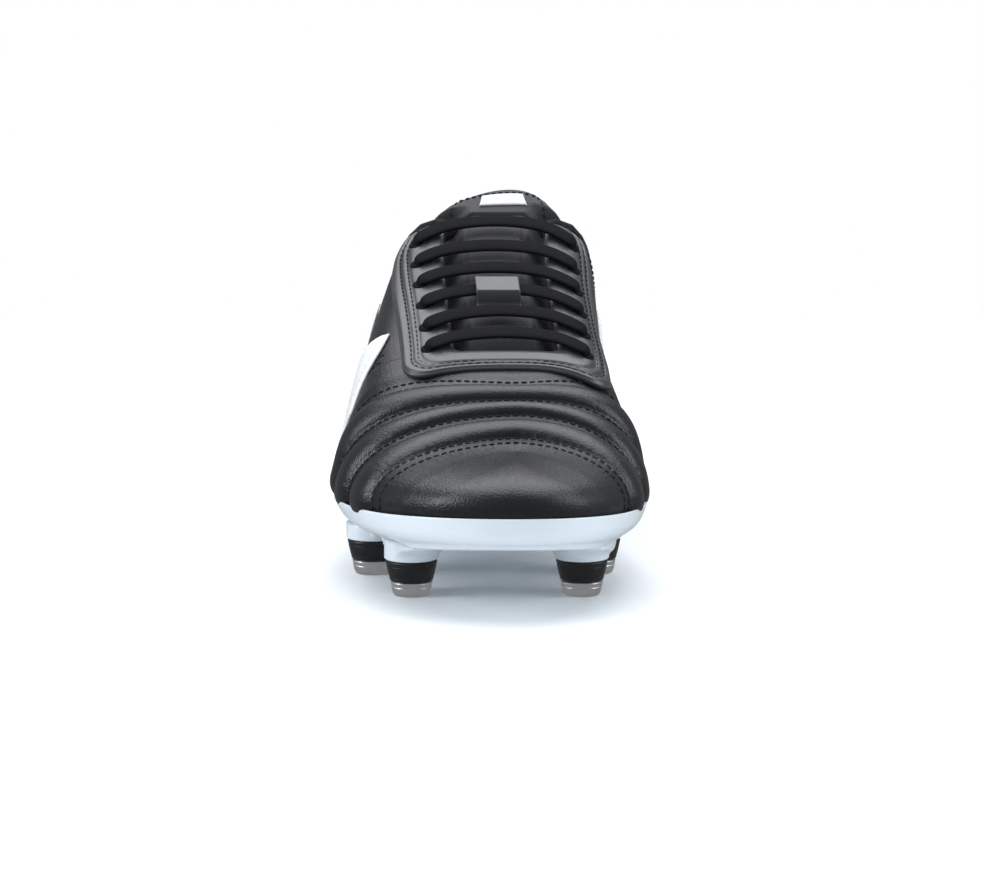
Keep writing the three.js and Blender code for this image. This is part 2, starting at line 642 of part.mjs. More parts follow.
const SOCKET_SLACK = 0.3;
const socketHole = (stud) =>
  new THREE.CylinderGeometry(SOCKET_RADIUS + SOCKET_SLACK, SOCKET_RADIUS + SOCKET_SLACK, SOCKET_HEIGHT + 2, 12)
    .rotateX(Math.PI / 2)
    .translate(...studPlace(stud), stud.top + FIT_GAP + (SOCKET_HEIGHT + SOCKET_SLACK * 2) / 2 - 0.9);

function outsole() {
  const whole = STUDS.reduce((body, stud) => body.add(solidOf(pedestal(stud))), solidOf(outsolePlate()));
  return cut(geometryOf(whole), STUDS.map(socketHole));
}

function studParts(stud) {
  const [tipTop, baseTop, seat] = [STUD_TIP, stud.top, stud.top + FIT_GAP];
  const baseLow = tipTop + FIT_GAP;
  const [bore, spigot] = [PIN_RADIUS + PIN_CLEARANCE, 2.9];
  const pinLow = baseTop - PIN_IN_STUD;
  const base = turned(
    [
      [0, baseLow + 1.6], [spigot + FIT_GAP, baseLow + 1.6], [spigot + FIT_GAP, baseLow],
      [STUD_WAIST_RADIUS, baseLow], [STUD_TOP_RADIUS, baseTop - 0.9], [STUD_TOP_RADIUS - 0.3, baseTop],
      [bore, baseTop], [bore, pinLow - FIT_GAP], [0, pinLow - FIT_GAP],
    ],
    16,
  );
  const tip = turned(
    [
      [0, 0], [STUD_FOOT_RADIUS, 0], [STUD_FOOT_RADIUS + 0.6, 0.9], [STUD_WAIST_RADIUS - 0.1, tipTop],
      [spigot, tipTop], [spigot, baseLow + 1.3], [0, baseLow + 1.3],
    ],
    16,
  );
  const flats = new THREE.BoxGeometry(30, STUD_FLATS, 40);
  const pin = turned(
    [[0, pinLow], [PIN_RADIUS, pinLow], [PIN_RADIUS, seat + PIN_IN_SOLE - 0.5], [PIN_RADIUS - 0.5, seat + PIN_IN_SOLE], [0, seat + PIN_IN_SOLE]],
    12,
  );
  const [low, high] = [seat + 0.1, seat + SOCKET_HEIGHT];
  const socket = turned(
    [
      [0, high], [SOCKET_RADIUS, high], [SOCKET_RADIUS, low], [bore, low], [bore, high - FIT_GAP], [0, high - FIT_GAP],
    ],
    12,
  );
  return { base, tip: geometryOf(solidOf(tip).intersect(solidOf(flats))), pin, socket };
}

// ---------------------------------------------------------------- lace
/** A lace that keeps one ring of its section on each of the points it is laid through. */
class LaceCurve extends THREE.CatmullRomCurve3 {
  getUtoTmapping(u) {
    return u;
  }
}

/** One bar from an eyelet over the tongue to the eyelet across, starting on the given side. */
function laceBar(row, from) {
  const steps = [
    [1, -1.9], [0.995, 5.4], [0.925, 7.4], [0.6, 7.6], [0, LACE_OVER_TONGUE + 1.7],
    [-0.6, 7.6], [-0.925, 7.4], [-0.995, 5.4], [-1, -1.9],
  ];
  return steps.map(([share, above]) =>
    instep(from * share * EYELET_OUT, eyeletStation(row) + ARCH * STRETCH * (1 - share ** 2), above),
  );
}

/** The lace inside a facing, halfway between two rows. */
const laceUnder = (side, rowA, rowB) =>
  instep(side * (EYELET_OUT + 0.6), (eyeletStation(rowA) + eyeletStation(rowB)) / 2, -2.7);

const insideWall = (side, t, z) => form(side, t * STRETCH, hAtHeight(side, t * STRETCH, z * LIFT), -3);

/** The lace end to end: from its medial end up through the rows to its other end beside it. */
function lacePoints() {
  const firstEnd = [
    [203, 59], [195, 63.5], [187, 69], [179, 76.5], [171, 86],
  ].map(([t, z]) => insideWall(1, t, z));
  const lastEnd = [
    [160, 88], [168, 77], [176, 67.5], [184, 60], [192, 54.5], [200, 50.5],
  ].map(([t, z]) => insideWall(1, t, z));
  return [
    ...firstEnd,
    instep(28.5, 161 * STRETCH, -3.1),
    instep(26.5, 150 * STRETCH, -3),
    ...laceBar(4, 1),
    laceUnder(-1, 4, 2),
    ...laceBar(2, -1),
    laceUnder(1, 2, 0),
    ...laceBar(0, 1),
    ...laceBar(1, -1),
    laceUnder(1, 1, 3),
    ...laceBar(3, 1),
    laceUnder(-1, 3, 5),
    ...laceBar(5, -1),
    ...lastEnd,
  ];
}

function lace(points) {
  const section = new THREE.Shape();
  for (let i = 0; i < LACE_SIDES; i += 1) {
    const a = (2 * Math.PI * i) / LACE_SIDES;
    const [x, y] = [LACE_RADIUS * Math.cos(a), LACE_RADIUS * Math.sin(a)];
    if (i === 0) section.moveTo(x, y);
    else section.lineTo(x, y);
  }
  return new THREE.ExtrudeGeometry(section, {
    steps: points.length - 1,
    extrudePath: new LaceCurve(points),
    curveSegments: 1,
  });
}

/** The hard tip on a lace end, in line with the last stretch of lace. */
function aglet(before, end) {
  const line = end.clone().sub(before).normalize();
  const turn = new THREE.Quaternion().setFromUnitVectors(V(0, 1, 0), line);
  const middle = end.clone().addScaledVector(line, FIT_GAP + AGLET_LENGTH / 2);
  return new THREE.CylinderGeometry(AGLET_RADIUS, AGLET_RADIUS, AGLET_LENGTH, 10)
    .applyQuaternion(turn)
    .translate(...middle.toArray());
}

// ---------------------------------------------------------------- assembly
const finish = (color, roughness, metalness = 0) => new THREE.MeshStandardMaterial({ color, roughness, metalness });
const FINISH = {
  leather: finish(0x1d2024, 0.42),
  eyestay: finish(0x2b2e33, 0.38),
  tongue: finish(0x25282b, 0.7),
  lining: finish(0x2e3033, 0.9),
  stiffener: finish(0xb9a98c, 0.9),
  sockliner: finish(0x232527, 0.95),
  white: finish(0xe8edf1, 0.4),
  sole: finish(0xe6ecf0, 0.45),
  nylon: finish(0x1a1c1e, 0.5),
  metal: finish(0xa4aaaf, 0.3, 1),
  steel: finish(0x8b9096, 0.35, 1),
  lace: finish(0x17181a, 0.85),
};

const boot = new THREE.Group();
boot.name = "boot";
function branch(name) {
  const group = new THREE.Group();
  group.name = name;
  boot.add(group);
  return (node, geometry, material) => {
    const mesh = new THREE.Mesh(geometry, material.clone());
    mesh.name = node;
    group.add(mesh);
  };
}

const soleUnit = branch("sole_unit");
soleUnit("outsole", outsole(), FINISH.sole);
soleUnit("insole_board", insoleBoard(), FINISH.stiffener);
soleUnit("sockliner", sockliner(), FINISH.sockliner);

const studUnit = branch("studs");
for (const stud of STUDS) {
  const parts = studParts(stud);
  const materials = { base: FINISH.nylon, tip: FINISH.metal, pin: FINISH.steel, socket: FINISH.steel };
  for (const [piece, geometry] of Object.entries(parts))
    studUnit(`stud_${piece}_${stud.name}`, geometry.translate(...studPlace(stud), 0), materials[piece]);
}

const upper = branch("upper");
const firstPunches = [eyeletPunch(-1, 0), eyeletPunch(1, 0)];
const vampShell = vampSheet(SHELL_IN, (r, puff) => SHELL_OUT + puff, 0, VAMP_ROWS);
upper("vamp", cut(vampShell, firstPunches), FINISH.leather);
upper("toe_puff", vampSheet(LINING_THIN + FIT_GAP, () => LINING_FULL, 0, PUFF_ROWS), FINISH.stiffener);
const liningOutside = (r) => (r <= PUFF_ROWS ? LINING_THIN : LINING_FULL);
upper("vamp_lining", cut(vampSheet(0, liningOutside, 0, VAMP_ROWS), firstPunches), FINISH.lining);
for (const [side, name] of [[-1, "lateral"], [1, "medial"]]) {
  upper(`${name}_quarter`, cut(quarterShell(side), punches(side)), FINISH.leather);
  upper(`${name}_lining`, cut(quarterLining(side), punches(side)), FINISH.lining);
  const { wide, narrow } = BANDS[name];
  upper(`${name}_band_wide`, flash(side, ...wide), FINISH.white);
  upper(`${name}_band_narrow`, flash(side, ...narrow), FINISH.white);
}
upper("eyestay", cut(eyestay(), [...punches(-1), ...punches(1)]), FINISH.eyestay);
upper("heel_stiffener", heelStiffener(), FINISH.stiffener);
upper("heel_counter", heelCounter((side, t) => biteLine(side, t) + 0.035), FINISH.eyestay);
upper("collar_padding", collarPadding(), FINISH.lining);

const tongue = branch("tongue_unit");
tongue("tongue", tongueBody(), FINISH.tongue);
tongue("tongue_flap", tongueFlap(), FINISH.tongue);
tongue("tongue_label", tongueLabel(), FINISH.white);
tongue("lace_keeper", laceKeeper(), FINISH.eyestay);

const lacing = branch("lacing");
const route = lacePoints();
lacing("lace", lace(route), FINISH.lace);
lacing("lace_aglet_first", aglet(route[1], route[0]), FINISH.nylon);
lacing("lace_aglet_last", aglet(route[route.length - 2], route[route.length - 1]), FINISH.nylon);

// The origin is on the ground, under the middle of the boot's box without its lace.
const box = new THREE.Box3();
boot.updateMatrixWorld(true);
boot.traverse((piece) => {
  if (piece.isMesh && !piece.name.startsWith("lace_aglet") && piece.name !== "lace") box.expandByObject(piece);
});
const centre = box.getCenter(V());
for (const group of boot.children) group.position.set(-centre.x, -centre.y, -box.min.z);

export default boot;
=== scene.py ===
"""A right football boot for soft ground: its visible surfaces, stitching, lace and finishes.

Sizes are in millimetres on the foot form (the last) and in metres once a piece is made.
"""

import logging
import math
from dataclasses import dataclass, field
from enum import Enum
from typing import Callable, Dict, Iterable, List, Optional, Sequence, Tuple

import bmesh
import bpy
import numpy as np
from mathutils import Matrix, Vector


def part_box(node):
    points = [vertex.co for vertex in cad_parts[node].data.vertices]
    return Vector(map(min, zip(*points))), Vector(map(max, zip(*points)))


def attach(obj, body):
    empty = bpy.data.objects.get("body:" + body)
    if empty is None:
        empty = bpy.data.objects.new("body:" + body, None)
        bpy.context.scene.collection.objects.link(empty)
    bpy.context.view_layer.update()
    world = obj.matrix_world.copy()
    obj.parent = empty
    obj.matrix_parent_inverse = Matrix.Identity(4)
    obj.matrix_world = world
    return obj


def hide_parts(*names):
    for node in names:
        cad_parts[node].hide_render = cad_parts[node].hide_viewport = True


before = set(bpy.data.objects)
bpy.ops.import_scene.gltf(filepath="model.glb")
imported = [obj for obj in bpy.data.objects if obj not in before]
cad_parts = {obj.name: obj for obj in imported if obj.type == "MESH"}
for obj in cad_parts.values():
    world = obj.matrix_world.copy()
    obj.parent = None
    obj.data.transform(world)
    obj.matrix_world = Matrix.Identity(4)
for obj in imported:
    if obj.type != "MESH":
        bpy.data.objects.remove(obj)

LOG = logging.getLogger("boot")
MM = 0.001
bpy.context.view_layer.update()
Array = np.ndarray
Place = Callable[[Array, Array, Array], Array]


class Side(Enum):
    """The two sides of a right boot, as the sign of X."""

    LATERAL = -1
    MEDIAL = 1

    @property
    def word(self) -> str:
        """The side's name as the frame's nodes spell it."""
        return self.name.lower()


class Piece(Enum):
    """Bodies of the frame that pieces ride on."""

    BOOT = "boot"
    SOCKLINER = "sockliner_lift"
    TONGUE_TOP = "tongue_top"


def ease(x: Array) -> Array:
    """A smooth step from 0 at x = 0 to 1 at x = 1."""
    s = np.clip(x, 0, 1)
    return s * s * (3 - 2 * s)


def mix(a, b, s):
    """The value a share s of the way from a to b."""
    return a + (b - a) * s


def together(*values) -> List[Array]:
    """The values as arrays of one shape, each with at least one dimension."""
    return [np.atleast_1d(x) for x in np.broadcast_arrays(*(np.asarray(value, float) for value in values))]


class Curve:
    """A smooth curve through (x, y) pairs, flat beyond both ends."""

    def __init__(self, *pairs: Tuple[float, float]) -> None:
        """Keeps the pairs and works out their slopes."""
        self.x, self.y = (np.array(column, float) for column in zip(*pairs))
        slopes = np.diff(self.y) / np.diff(self.x)
        self.m = np.concatenate([slopes[:1], (slopes[:-1] + slopes[1:]) / 2, slopes[-1:]])

    def __call__(self, at: Array) -> Array:
        """The curve's height at each place."""
        x = np.clip(at, self.x[0], self.x[-1])
        i = np.clip(np.searchsorted(self.x, x) - 1, 0, len(self.x) - 2)
        wide = self.x[i + 1] - self.x[i]
        s = (x - self.x[i]) / wide
        low = (2 * s**3 - 3 * s**2 + 1) * self.y[i] + (s**3 - 2 * s**2 + s) * wide * self.m[i]
        return low + (-2 * s**3 + 3 * s**2) * self.y[i + 1] + (s**3 - s**2) * wide * self.m[i + 1]


# ------------------------------------------------------------------ the last
@dataclass(frozen=True)
class Last:
    """The foot form that every layer of the upper and the sole is laid on.

    A place on it is a side, a station from the toe tip, and a rise h from 0 under the foot's edge to 1
    on the crest. Layers lie above it by a distance along its normal.
    """

    length: float = 280.0
    toe_slope: float = 36.0
    heel_slope: float = 42.0
    tuck: float = math.radians(125)
    lacing_side: float = -1.8
    shell_in: float = 2.2
    shell_out: float = 3.5
    overlay_out: float = 5.25
    lining_out: float = 1.9
    bed_drop: float = 3.7
    crown: float = 0.08
    lateral: Curve = Curve(
        (0, 47), (40, 48.5), (80, 51.5), (108, 52), (140, 48), (170, 41), (200, 35.5), (280, 33)
    )
    medial: Curve = Curve(
        (0, 41), (40, 42), (80, 42.5), (108, 40), (140, 35), (170, 32), (200, 31), (280, 32)
    )
    feather: Curve = Curve(
        (0, 28.5), (30, 25.8), (60, 23.6), (95, 22.5), (130, 23), (170, 24.5), (215, 26), (280, 26.5)
    )
    bulge: Curve = Curve((0, 8), (40, 7), (95, 9.5), (170, 13), (280, 16))
    crest: Curve = Curve(
        (33, 45), (42, 48), (53, 54), (62, 58), (72, 62.5), (95, 72), (108, 79), (120, 85.5),
        (132, 92), (144, 99), (155, 106), (170, 112.5), (190, 117), (215, 120), (280, 123),
    )
    crest_side: Curve = Curve((0, 4.8), (60, 4.8), (88, 3.4), (145, -0.9), (172, 1), (200, 0.5), (280, 0))
    fullness: Curve = Curve(
        (0, 2), (30, 2), (50, 2), (70, 2.7), (85, 4.4), (95, 5.6), (150, 6), (180, 4), (220, 2.7), (280, 2.4)
    )
    lean_lateral: Curve = Curve((0, 0), (60, 0.06), (90, 0.18), (110, 0.2), (150, 0.2), (200, 0.05), (280, 0))
    lean_medial: Curve = Curve(
        (0, 0), (60, 0.06), (90, 0.24), (110, 0.29), (130, 0.24), (150, 0.15), (170, 0.06), (280, 0)
    )
    collar: Curve = Curve(
        (154, 122), (162, 112.5), (168, 105), (177, 95), (192, 86), (211, 81), (235, 83), (260, 91), (280, 96)
    )
    bite: Curve = Curve((0, 33), (25, 30.4), (60, 28), (95, 27.2), (140, 28.5), (200, 31.5), (280, 34))
    underside: Curve = Curve(
        (0, 22.5), (30, 18), (60, 16.2), (95, 15.6), (130, 16.4), (170, 18.4), (215, 19.6), (280, 20.6)
    )

    def half_width(self, side: Array, t: Array) -> Array:
        """The form's half width at each station, closed round the toe and the heel."""

        def closing(at: Array, reach: float, power: float) -> Array:
            left = 1 - np.clip(at, 0, reach) / reach
            return np.maximum(1 - left**power, 0) ** (1 / power)

        heel = closing(self.length - t, 50, 2.1)
        outer = self.lateral(t) * closing(t, 80, 2.25)
        inner = self.medial(t) * closing(t, 75, 2.25)
        return np.where(side < 0, outer, inner) * heel

    def crest_at(self, t: Array) -> Array:
        """Where the section that starts at station t meets the crest."""
        return np.hypot(t, self.toe_slope) - np.hypot(self.length - t, self.heel_slope) + self.length - t

    def point(self, side: Array, t: Array, h: Array) -> Array:
        """Points of the form's own surface, as an array with a last axis of x, station and z."""
        side, t, h = np.broadcast_arrays(np.asarray(side, float), np.asarray(t, float), np.asarray(h, float))
        back = self.crest_at(t)
        angle = self.tuck * (1 - h)
        power = np.where(angle < math.pi / 2, self.fullness(t), 2.0)
        sine, cosine = np.abs(np.sin(angle)), np.abs(np.cos(angle))
        reach = (sine**power + cosine**power) ** (-1 / power)
        low = self.feather(t)
        waist = low + self.bulge(t)
        across = np.sin(angle) * reach
        rise = np.cos(angle) * reach
        lean = np.where(side < 0, self.lean_lateral(t), self.lean_medial(t))
        under = waist - rise / math.cos(self.tuck) * (waist - low)
        z = np.where(rise > 0, waist + rise * (self.crest(back) - waist), under)
        across = across * np.where(rise > 0, 1 - lean * rise, 1.0)
        edge = 4 * np.maximum(0, 1 - t / 100) ** 2 + side * self.half_width(side, t)
        k = self.crown
        forward = (np.sqrt(across**2 + k * k) - k) / (math.hypot(1, k) - k)
        return np.stack([mix(self.crest_side(back), edge, across), mix(back, t, forward), z], axis=-1)

    def _step(self, side: Array, t: Array, h: Array) -> Array:
        """Points whose numbers may run on past the tips and the crest."""
        over = t < 0
        side, t = np.where(over, -side, side), np.where(over, -t, t)
        over = t > self.length
        side, t = np.where(over, -side, side), np.where(over, 2 * self.length - t, t)
        over = h > 1
        return self.point(np.where(over, -side, side), t, np.maximum(np.where(over, 2 - h, h), 0))

    def lay(self, side: Array, t: Array, h: Array, above: Array) -> Array:
        """Points above the form, in the frame's metres.

        Args:
            side: -1 or 1 for each point.
            t: stations from the toe tip.
            h: rises from 0 to 1.
            above: distances along the normal, in millimetres.

        Returns:
            An array of points, in metres.
        """
        side, t, h, above = np.broadcast_arrays(*(np.asarray(x, float) for x in (side, t, h, above)))
        along = self._step(side, t + 0.3, h) - self._step(side, t - 0.3, h)
        tip = (t < 0.3) | (t > self.length - 0.3)
        along[..., 1] = np.where(tip, 0, along[..., 1])
        up = self._step(side, t, h + 0.004) - self._step(side, t, h - 0.004)
        normal = np.cross(along, up)
        normal /= np.maximum(np.linalg.norm(normal, axis=-1, keepdims=True), 1e-9)
        p = self.point(side, t, h) + normal * (side * above)[..., None]
        p[..., 1] -= self.length / 2
        return (p + ORIGIN_SHIFT) * MM

    def h_at_height(self, side: Array, t: Array, z: Array) -> Array:
        """The rise at which each section reaches a height z."""
        side, t, z = np.broadcast_arrays(*(np.asarray(x, float) for x in (side, t, z)))
        low, high = np.full(z.shape, 0.3), np.ones(z.shape)
        for _ in range(26):
            middle = (low + high) / 2
            under = self.point(side, t, middle)[..., 2] < z
            low, high = np.where(under, middle, low), np.where(under, high, middle)
        return (low + high) / 2

    def h_at_span(self, side: Array, t: Array, span: Array) -> Array:
        """The rise at a distance from the crest, measured over each section."""
        side, t, span = together(side, t, span)
        rises = np.linspace(1, 0, 51)
        p = self.point(side[:, None], t[:, None], rises[None, :])
        run = np.cumsum(np.linalg.norm(np.diff(p, axis=1), axis=2), axis=1)
        run = np.concatenate([np.zeros((len(t), 1)), run], axis=1)
        i = np.clip((run < span[:, None]).sum(axis=1) - 1, 0, 49)
        rows = np.arange(len(t))
        share = (span - run[rows, i]) / (run[rows, i + 1] - run[rows, i])
        return mix(rises[i], rises[i + 1], np.clip(share, 0, 1))

    def instep(self, span: Array, t: Array, above: Array) -> Array:
        """Points over the instep, by their distance from the lacing's middle (minus is lateral)."""
        span, t, above = together(span, t, above)
        crest = span + self.lacing_side
        side = np.where(crest < 0, -1.0, 1.0)
        return self.lay(side, t, self.h_at_span(side, t, np.abs(crest)), above)


FIRST_STUD = (-29.0, 45.0)  # the front lateral stud's place across the last and its station


def origin_shift() -> Array:
    """How far the frame's origin lies from the last's, in millimetres, read from the first stud's pin."""
    low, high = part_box("stud_pin_front_lateral")
    middle = (low + high) / 2 / MM
    return np.array([middle.x - FIRST_STUD[0], middle.y + (Last.length / 2 - FIRST_STUD[1]), 0.0])


ORIGIN_SHIFT = origin_shift()
LAST = Last()


# ------------------------------------------------------------------ meshes
def done(bm: bmesh.types.BMesh, name: str, material: bpy.types.Material, body: str,
         replaces: Sequence[str] = ()) -> bpy.types.Object:
    """Turns a bmesh into a finished piece that rides on a body.

    Args:
        bm: the mesh, in the frame's metres; it is freed here.
        name: the piece's name.
        material: its finish.
        body: the frame's body that it moves with.
        replaces: the frame's nodes that it stands for.

    Returns:
        The new object.
    """
    bmesh.ops.remove_doubles(bm, verts=bm.verts, dist=2e-6)
    bmesh.ops.recalc_face_normals(bm, faces=bm.faces)
    for face in bm.faces:
        face.smooth = True
    mesh = bpy.data.meshes.new(name)
    bm.to_mesh(mesh)
    bm.free()
    piece = bpy.data.objects.new(name, mesh)
    bpy.context.scene.collection.objects.link(piece)
    mesh.materials.append(material)
    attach(piece, body)
    if replaces:
        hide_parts(*replaces)
    LOG.info("%s: %d faces on %s", name, len(mesh.polygons), body)
    return piece


def tighten(x: Array, pull: float) -> Array:
    """Draws evenly spread numbers from 0 to 1 closer together near both ends."""
    return x - pull * np.sin(2 * np.pi * x) / (2 * np.pi)


def slab(columns: int, rows: int, place: Place, cloth: Tuple[float, float] = (1, 1),
         pull: Tuple[float, float] = (0.0, 0.0)) -> bmesh.types.BMesh:
    """A closed sheet with a thickness.

    Args:
        columns: cells along u.
        rows: cells along v.
        place: gives points for u, v and w, which is 0 inside and 1 outside.
        cloth: the sheet's size in millimetres along u and v, kept with each vertex for its weave.
        pull: how much the cells crowd towards the edges along u and v.

    Returns:
        The mesh, in metres.
    """
    bm = bmesh.new()
    layer = bm.verts.layers.float_vector.new("cloth")
    bmesh.ops.create_grid(bm, x_segments=columns, y_segments=rows, size=0.5)
    made = bmesh.ops.extrude_face_region(bm, geom=bm.faces[:])["geom"]
    outer = {v for v in made if isinstance(v, bmesh.types.BMVert)}
    flat = np.array([v.co[:2] for v in bm.verts]) + 0.5
    u, v = tighten(flat[:, 0], pull[0]), tighten(flat[:, 1], pull[1])
    w = np.array([1.0 if vert in outer else 0.0 for vert in bm.verts])
    for vert, p, a, b in zip(bm.verts, place(u, v, w), u, v):
        vert.co = p
        vert[layer] = (a * cloth[0], b * cloth[1], 0)
    return bm


def rings(around: int, profile: Sequence[Callable[[Array], Array]], fine: int) -> bmesh.types.BMesh:
    """A closed body of rings, rounded between them; the first and last rings are single points.

    Args:
        around: cells round the body.
        profile: each ring's points for a share of the way round.
        fine: cells from each ring to the next.

    Returns:
        The mesh, in metres.
    """
    bm = bmesh.new()
    count = len(profile) - 1
    bmesh.ops.create_grid(bm, x_segments=around, y_segments=count * fine, size=0.5)
    flat = np.array([v.co[:2] for v in bm.verts]) + 0.5
    share = np.round(flat[:, 0] * around) % around / around
    stacked = np.stack([ring(share) for ring in profile])
    level = np.clip(np.round(flat[:, 1] * count * fine) / fine, 0, count)
    k = np.clip(level.astype(int), 0, count - 1)
    s = (level - k)[:, None]
    every = np.arange(len(share))
    a, b = stacked[k, every], stacked[k + 1, every]
    before, after = stacked[np.maximum(k - 1, 0), every], stacked[np.minimum(k + 2, count), every]
    tension = 0.32
    ta, tb = (b - before) * tension, (after - a) * tension
    p = (2 * s**3 - 3 * s**2 + 1) * a + (s**3 - 2 * s**2 + s) * ta
    p += (-2 * s**3 + 3 * s**2) * b + (s**3 - s**2) * tb
    for vert, at in zip(bm.verts, p):
        vert.co = at
    return bm


def lathe(
    profile: Sequence[Tuple[float, float]], middle: Tuple[float, float], steps: int = 48
) -> bmesh.types.BMesh:
    """A turned body from (radius, height) pairs in millimetres, spun about an upright line.

    Args:
        profile: pairs that start and end on the axis.
        middle: the axis's x and y, in metres.
        steps: faces round it.

    Returns:
        The mesh, in metres.
    """
    bm = bmesh.new()
    verts = [bm.verts.new((r * MM + middle[0], middle[1], z * MM)) for r, z in profile]
    edges = [bm.edges.new(pair) for pair in zip(verts, verts[1:])]
    bmesh.ops.spin(bm, geom=verts + edges, cent=(*middle, 0), axis=(0, 0, 1), angle=2 * math.pi,
                   steps=steps, use_merge=True, use_duplicate=False)
    return bm


def run_along(path: Array) -> Array:
    """How far each point of a path is from its start, measured along it."""
    return np.concatenate([[0], np.cumsum(np.linalg.norm(np.diff(path, axis=0), axis=1))])


def smooth_path(points: Array, fine: int) -> Array:
    """A path through points with extra points between them, on a smooth curve."""
    padded = np.concatenate([[2 * points[0] - points[1]], points, [2 * points[-1] - points[-2]]])
    s = np.arange(fine)[:, None] / fine
    made = []
    for p0, p1, p2, p3 in zip(padded, padded[1:], padded[2:], padded[3:]):
        bend = (2 * p0 - 5 * p1 + 4 * p2 - p3) * s**2 + (3 * p1 - p0 - 3 * p2 + p3) * s**3
        made.append(0.5 * (2 * p1 + (p2 - p0) * s + bend))
    return np.concatenate(made + [points[-1:]])


def tube(path: Array, across: Array, half_width: Array, half_height: Array, sides: int = 12,
         closed: bool = False, square: float = 1.0) -> bmesh.types.BMesh:
    """A tube or ribbon of an oval section along a path.

    Args:
        path: points, in metres.
        across: the width's direction at each point.
        half_width: half of the section's width at each point, in metres.
        half_height: half of its height.
        sides: faces round it.
        closed: whether the path ends where it starts.
        square: below 1 the oval's corners fill out, towards a flat tape's.

    Returns:
        The mesh, in metres.
    """
    bm = bmesh.new()
    layer = bm.verts.layers.float_vector.new("cloth")
    last = len(path) - 1
    tangent = np.gradient(path, axis=0)
    if closed:
        tangent[0] = tangent[-1] = path[1] - path[-2]
    tangent /= np.linalg.norm(tangent, axis=1, keepdims=True)
    wide = across - tangent * (across * tangent).sum(1, keepdims=True)
    wide /= np.maximum(np.linalg.norm(wide, axis=1, keepdims=True), 1e-9)
    high = np.cross(tangent, wide)
    run = run_along(path) / MM
    bmesh.ops.create_grid(bm, x_segments=sides, y_segments=last, size=0.5)
    for vert in bm.verts:
        turn = round((vert.co.x + 0.5) * sides) % sides * 2 * math.pi / sides
        i = int(round((vert.co.y + 0.5) * last))
        c, s = (math.copysign(abs(x) ** square, x) for x in (math.cos(turn), math.sin(turn)))
        vert[layer] = (run[i], c * half_width[i] / MM, s)
        vert.co = path[i] + wide[i] * c * half_width[i] + high[i] * s * half_height[i]
    bmesh.ops.remove_doubles(bm, verts=bm.verts, dist=2e-6)
    if not closed:
        rims = [e for e in bm.edges if e.is_boundary]
        bmesh.ops.holes_fill(bm, edges=rims, sides=sides)
    return bm


def directions_across(path: Array, normal: Array) -> Array:
    """The direction across a ribbon that lies flat on a surface, turned smoothly along its path."""
    tangent = np.gradient(path, axis=0)
    tangent /= np.linalg.norm(tangent, axis=1, keepdims=True)
    raw = np.cross(tangent, normal)
    for i in range(1, len(raw)):
        if raw[i] @ raw[i - 1] < 0:
            raw[i] *= -1
    for _ in range(6):
        raw[1:-1] = (raw[:-2] + 2 * raw[1:-1] + raw[2:]) / 4
    return raw / np.maximum(np.linalg.norm(raw, axis=1, keepdims=True), 1e-9)


@dataclass(frozen=True)
class Stitching:
    """A row of lock stitches along a path on the leather.

    Attributes:
        pitch: from one stitch to the next, in millimetres.
        length: each stitch's own length.
        radius: half of the thread's thickness.
    """

    pitch: float = 2.7
    length: float = 2.1
    radius: float = 0.34

    def sew(self, paths: Iterable[Array]) -> bmesh.types.BMesh:
        """Lays stitches along each path of points, in metres, and returns them as one mesh."""
        bm = bmesh.new()
        for path in paths:
            run = run_along(path)
            count = int(run[-1] / (self.pitch * MM))
            for k in range(count):
                ends = [(k * self.pitch + x) * MM for x in (0.3, 0.3 + self.length)]
                a, b = (Vector([np.interp(e, run, path[:, axis]) for axis in range(3)]) for e in ends)
                line = b - a
                turn = line.to_track_quat("Z", "X").to_matrix().to_4x4()
                size = Matrix.Diagonal((self.radius * MM, self.radius * MM, line.length / 2, 1))
                bmesh.ops.create_uvsphere(bm, u_segments=6, v_segments=4, radius=1,
                                          matrix=Matrix.Translation((a + b) / 2) @ turn @ size)
        return bm


# ------------------------------------------------------------------ finishes
class Tree:
    """A short way to write a node tree."""

    def __init__(self, tree: bpy.types.NodeTree) -> None:
        """Works on the given tree."""
        self.tree = tree

    def add(self, kind: str, inputs: Optional[Dict] = None, **settings) -> bpy.types.Node:
        """Adds a node, sets its properties and feeds its inputs with values or sockets."""
        node = self.tree.nodes.new("ShaderNode" + kind)
        for key, value in settings.items():
            setattr(node, key, value)
        for key, value in (inputs or {}).items():
            if isinstance(value, bpy.types.NodeSocket):
                self.link(value, node.inputs[key])
            else:
                node.inputs[key].default_value = value
        return node

    def link(self, source: bpy.types.NodeSocket, target: bpy.types.NodeSocket) -> None:
        """Feeds one socket from another."""
        self.tree.links.new(source, target)

    def math(self, operation: str, a, b=0.0) -> bpy.types.NodeSocket:
        """One math node's result."""
        return self.add("Math", {0: a, 1: b}, operation=operation).outputs[0]

    def ramp(self, factor, low: float, high: float, a: float = 0.0, b: float = 1.0) -> bpy.types.NodeSocket:
        """A value carried from one range to another, kept inside it."""
        keys = {"Value": factor, "From Min": low, "From Max": high, "To Min": a, "To Max": b}
        return self.add("MapRange", keys).outputs["Result"]

    def blend(self, factor, a, b) -> bpy.types.NodeSocket:
        """One colour faded into another."""
        node = self.add("Mix", data_type="RGBA")
        for socket, value in ((node.inputs[0], factor), (node.inputs[6], a), (node.inputs[7], b)):
            if isinstance(value, bpy.types.NodeSocket):
                self.link(value, socket)
            else:
                socket.default_value = value
        return node.outputs[2]


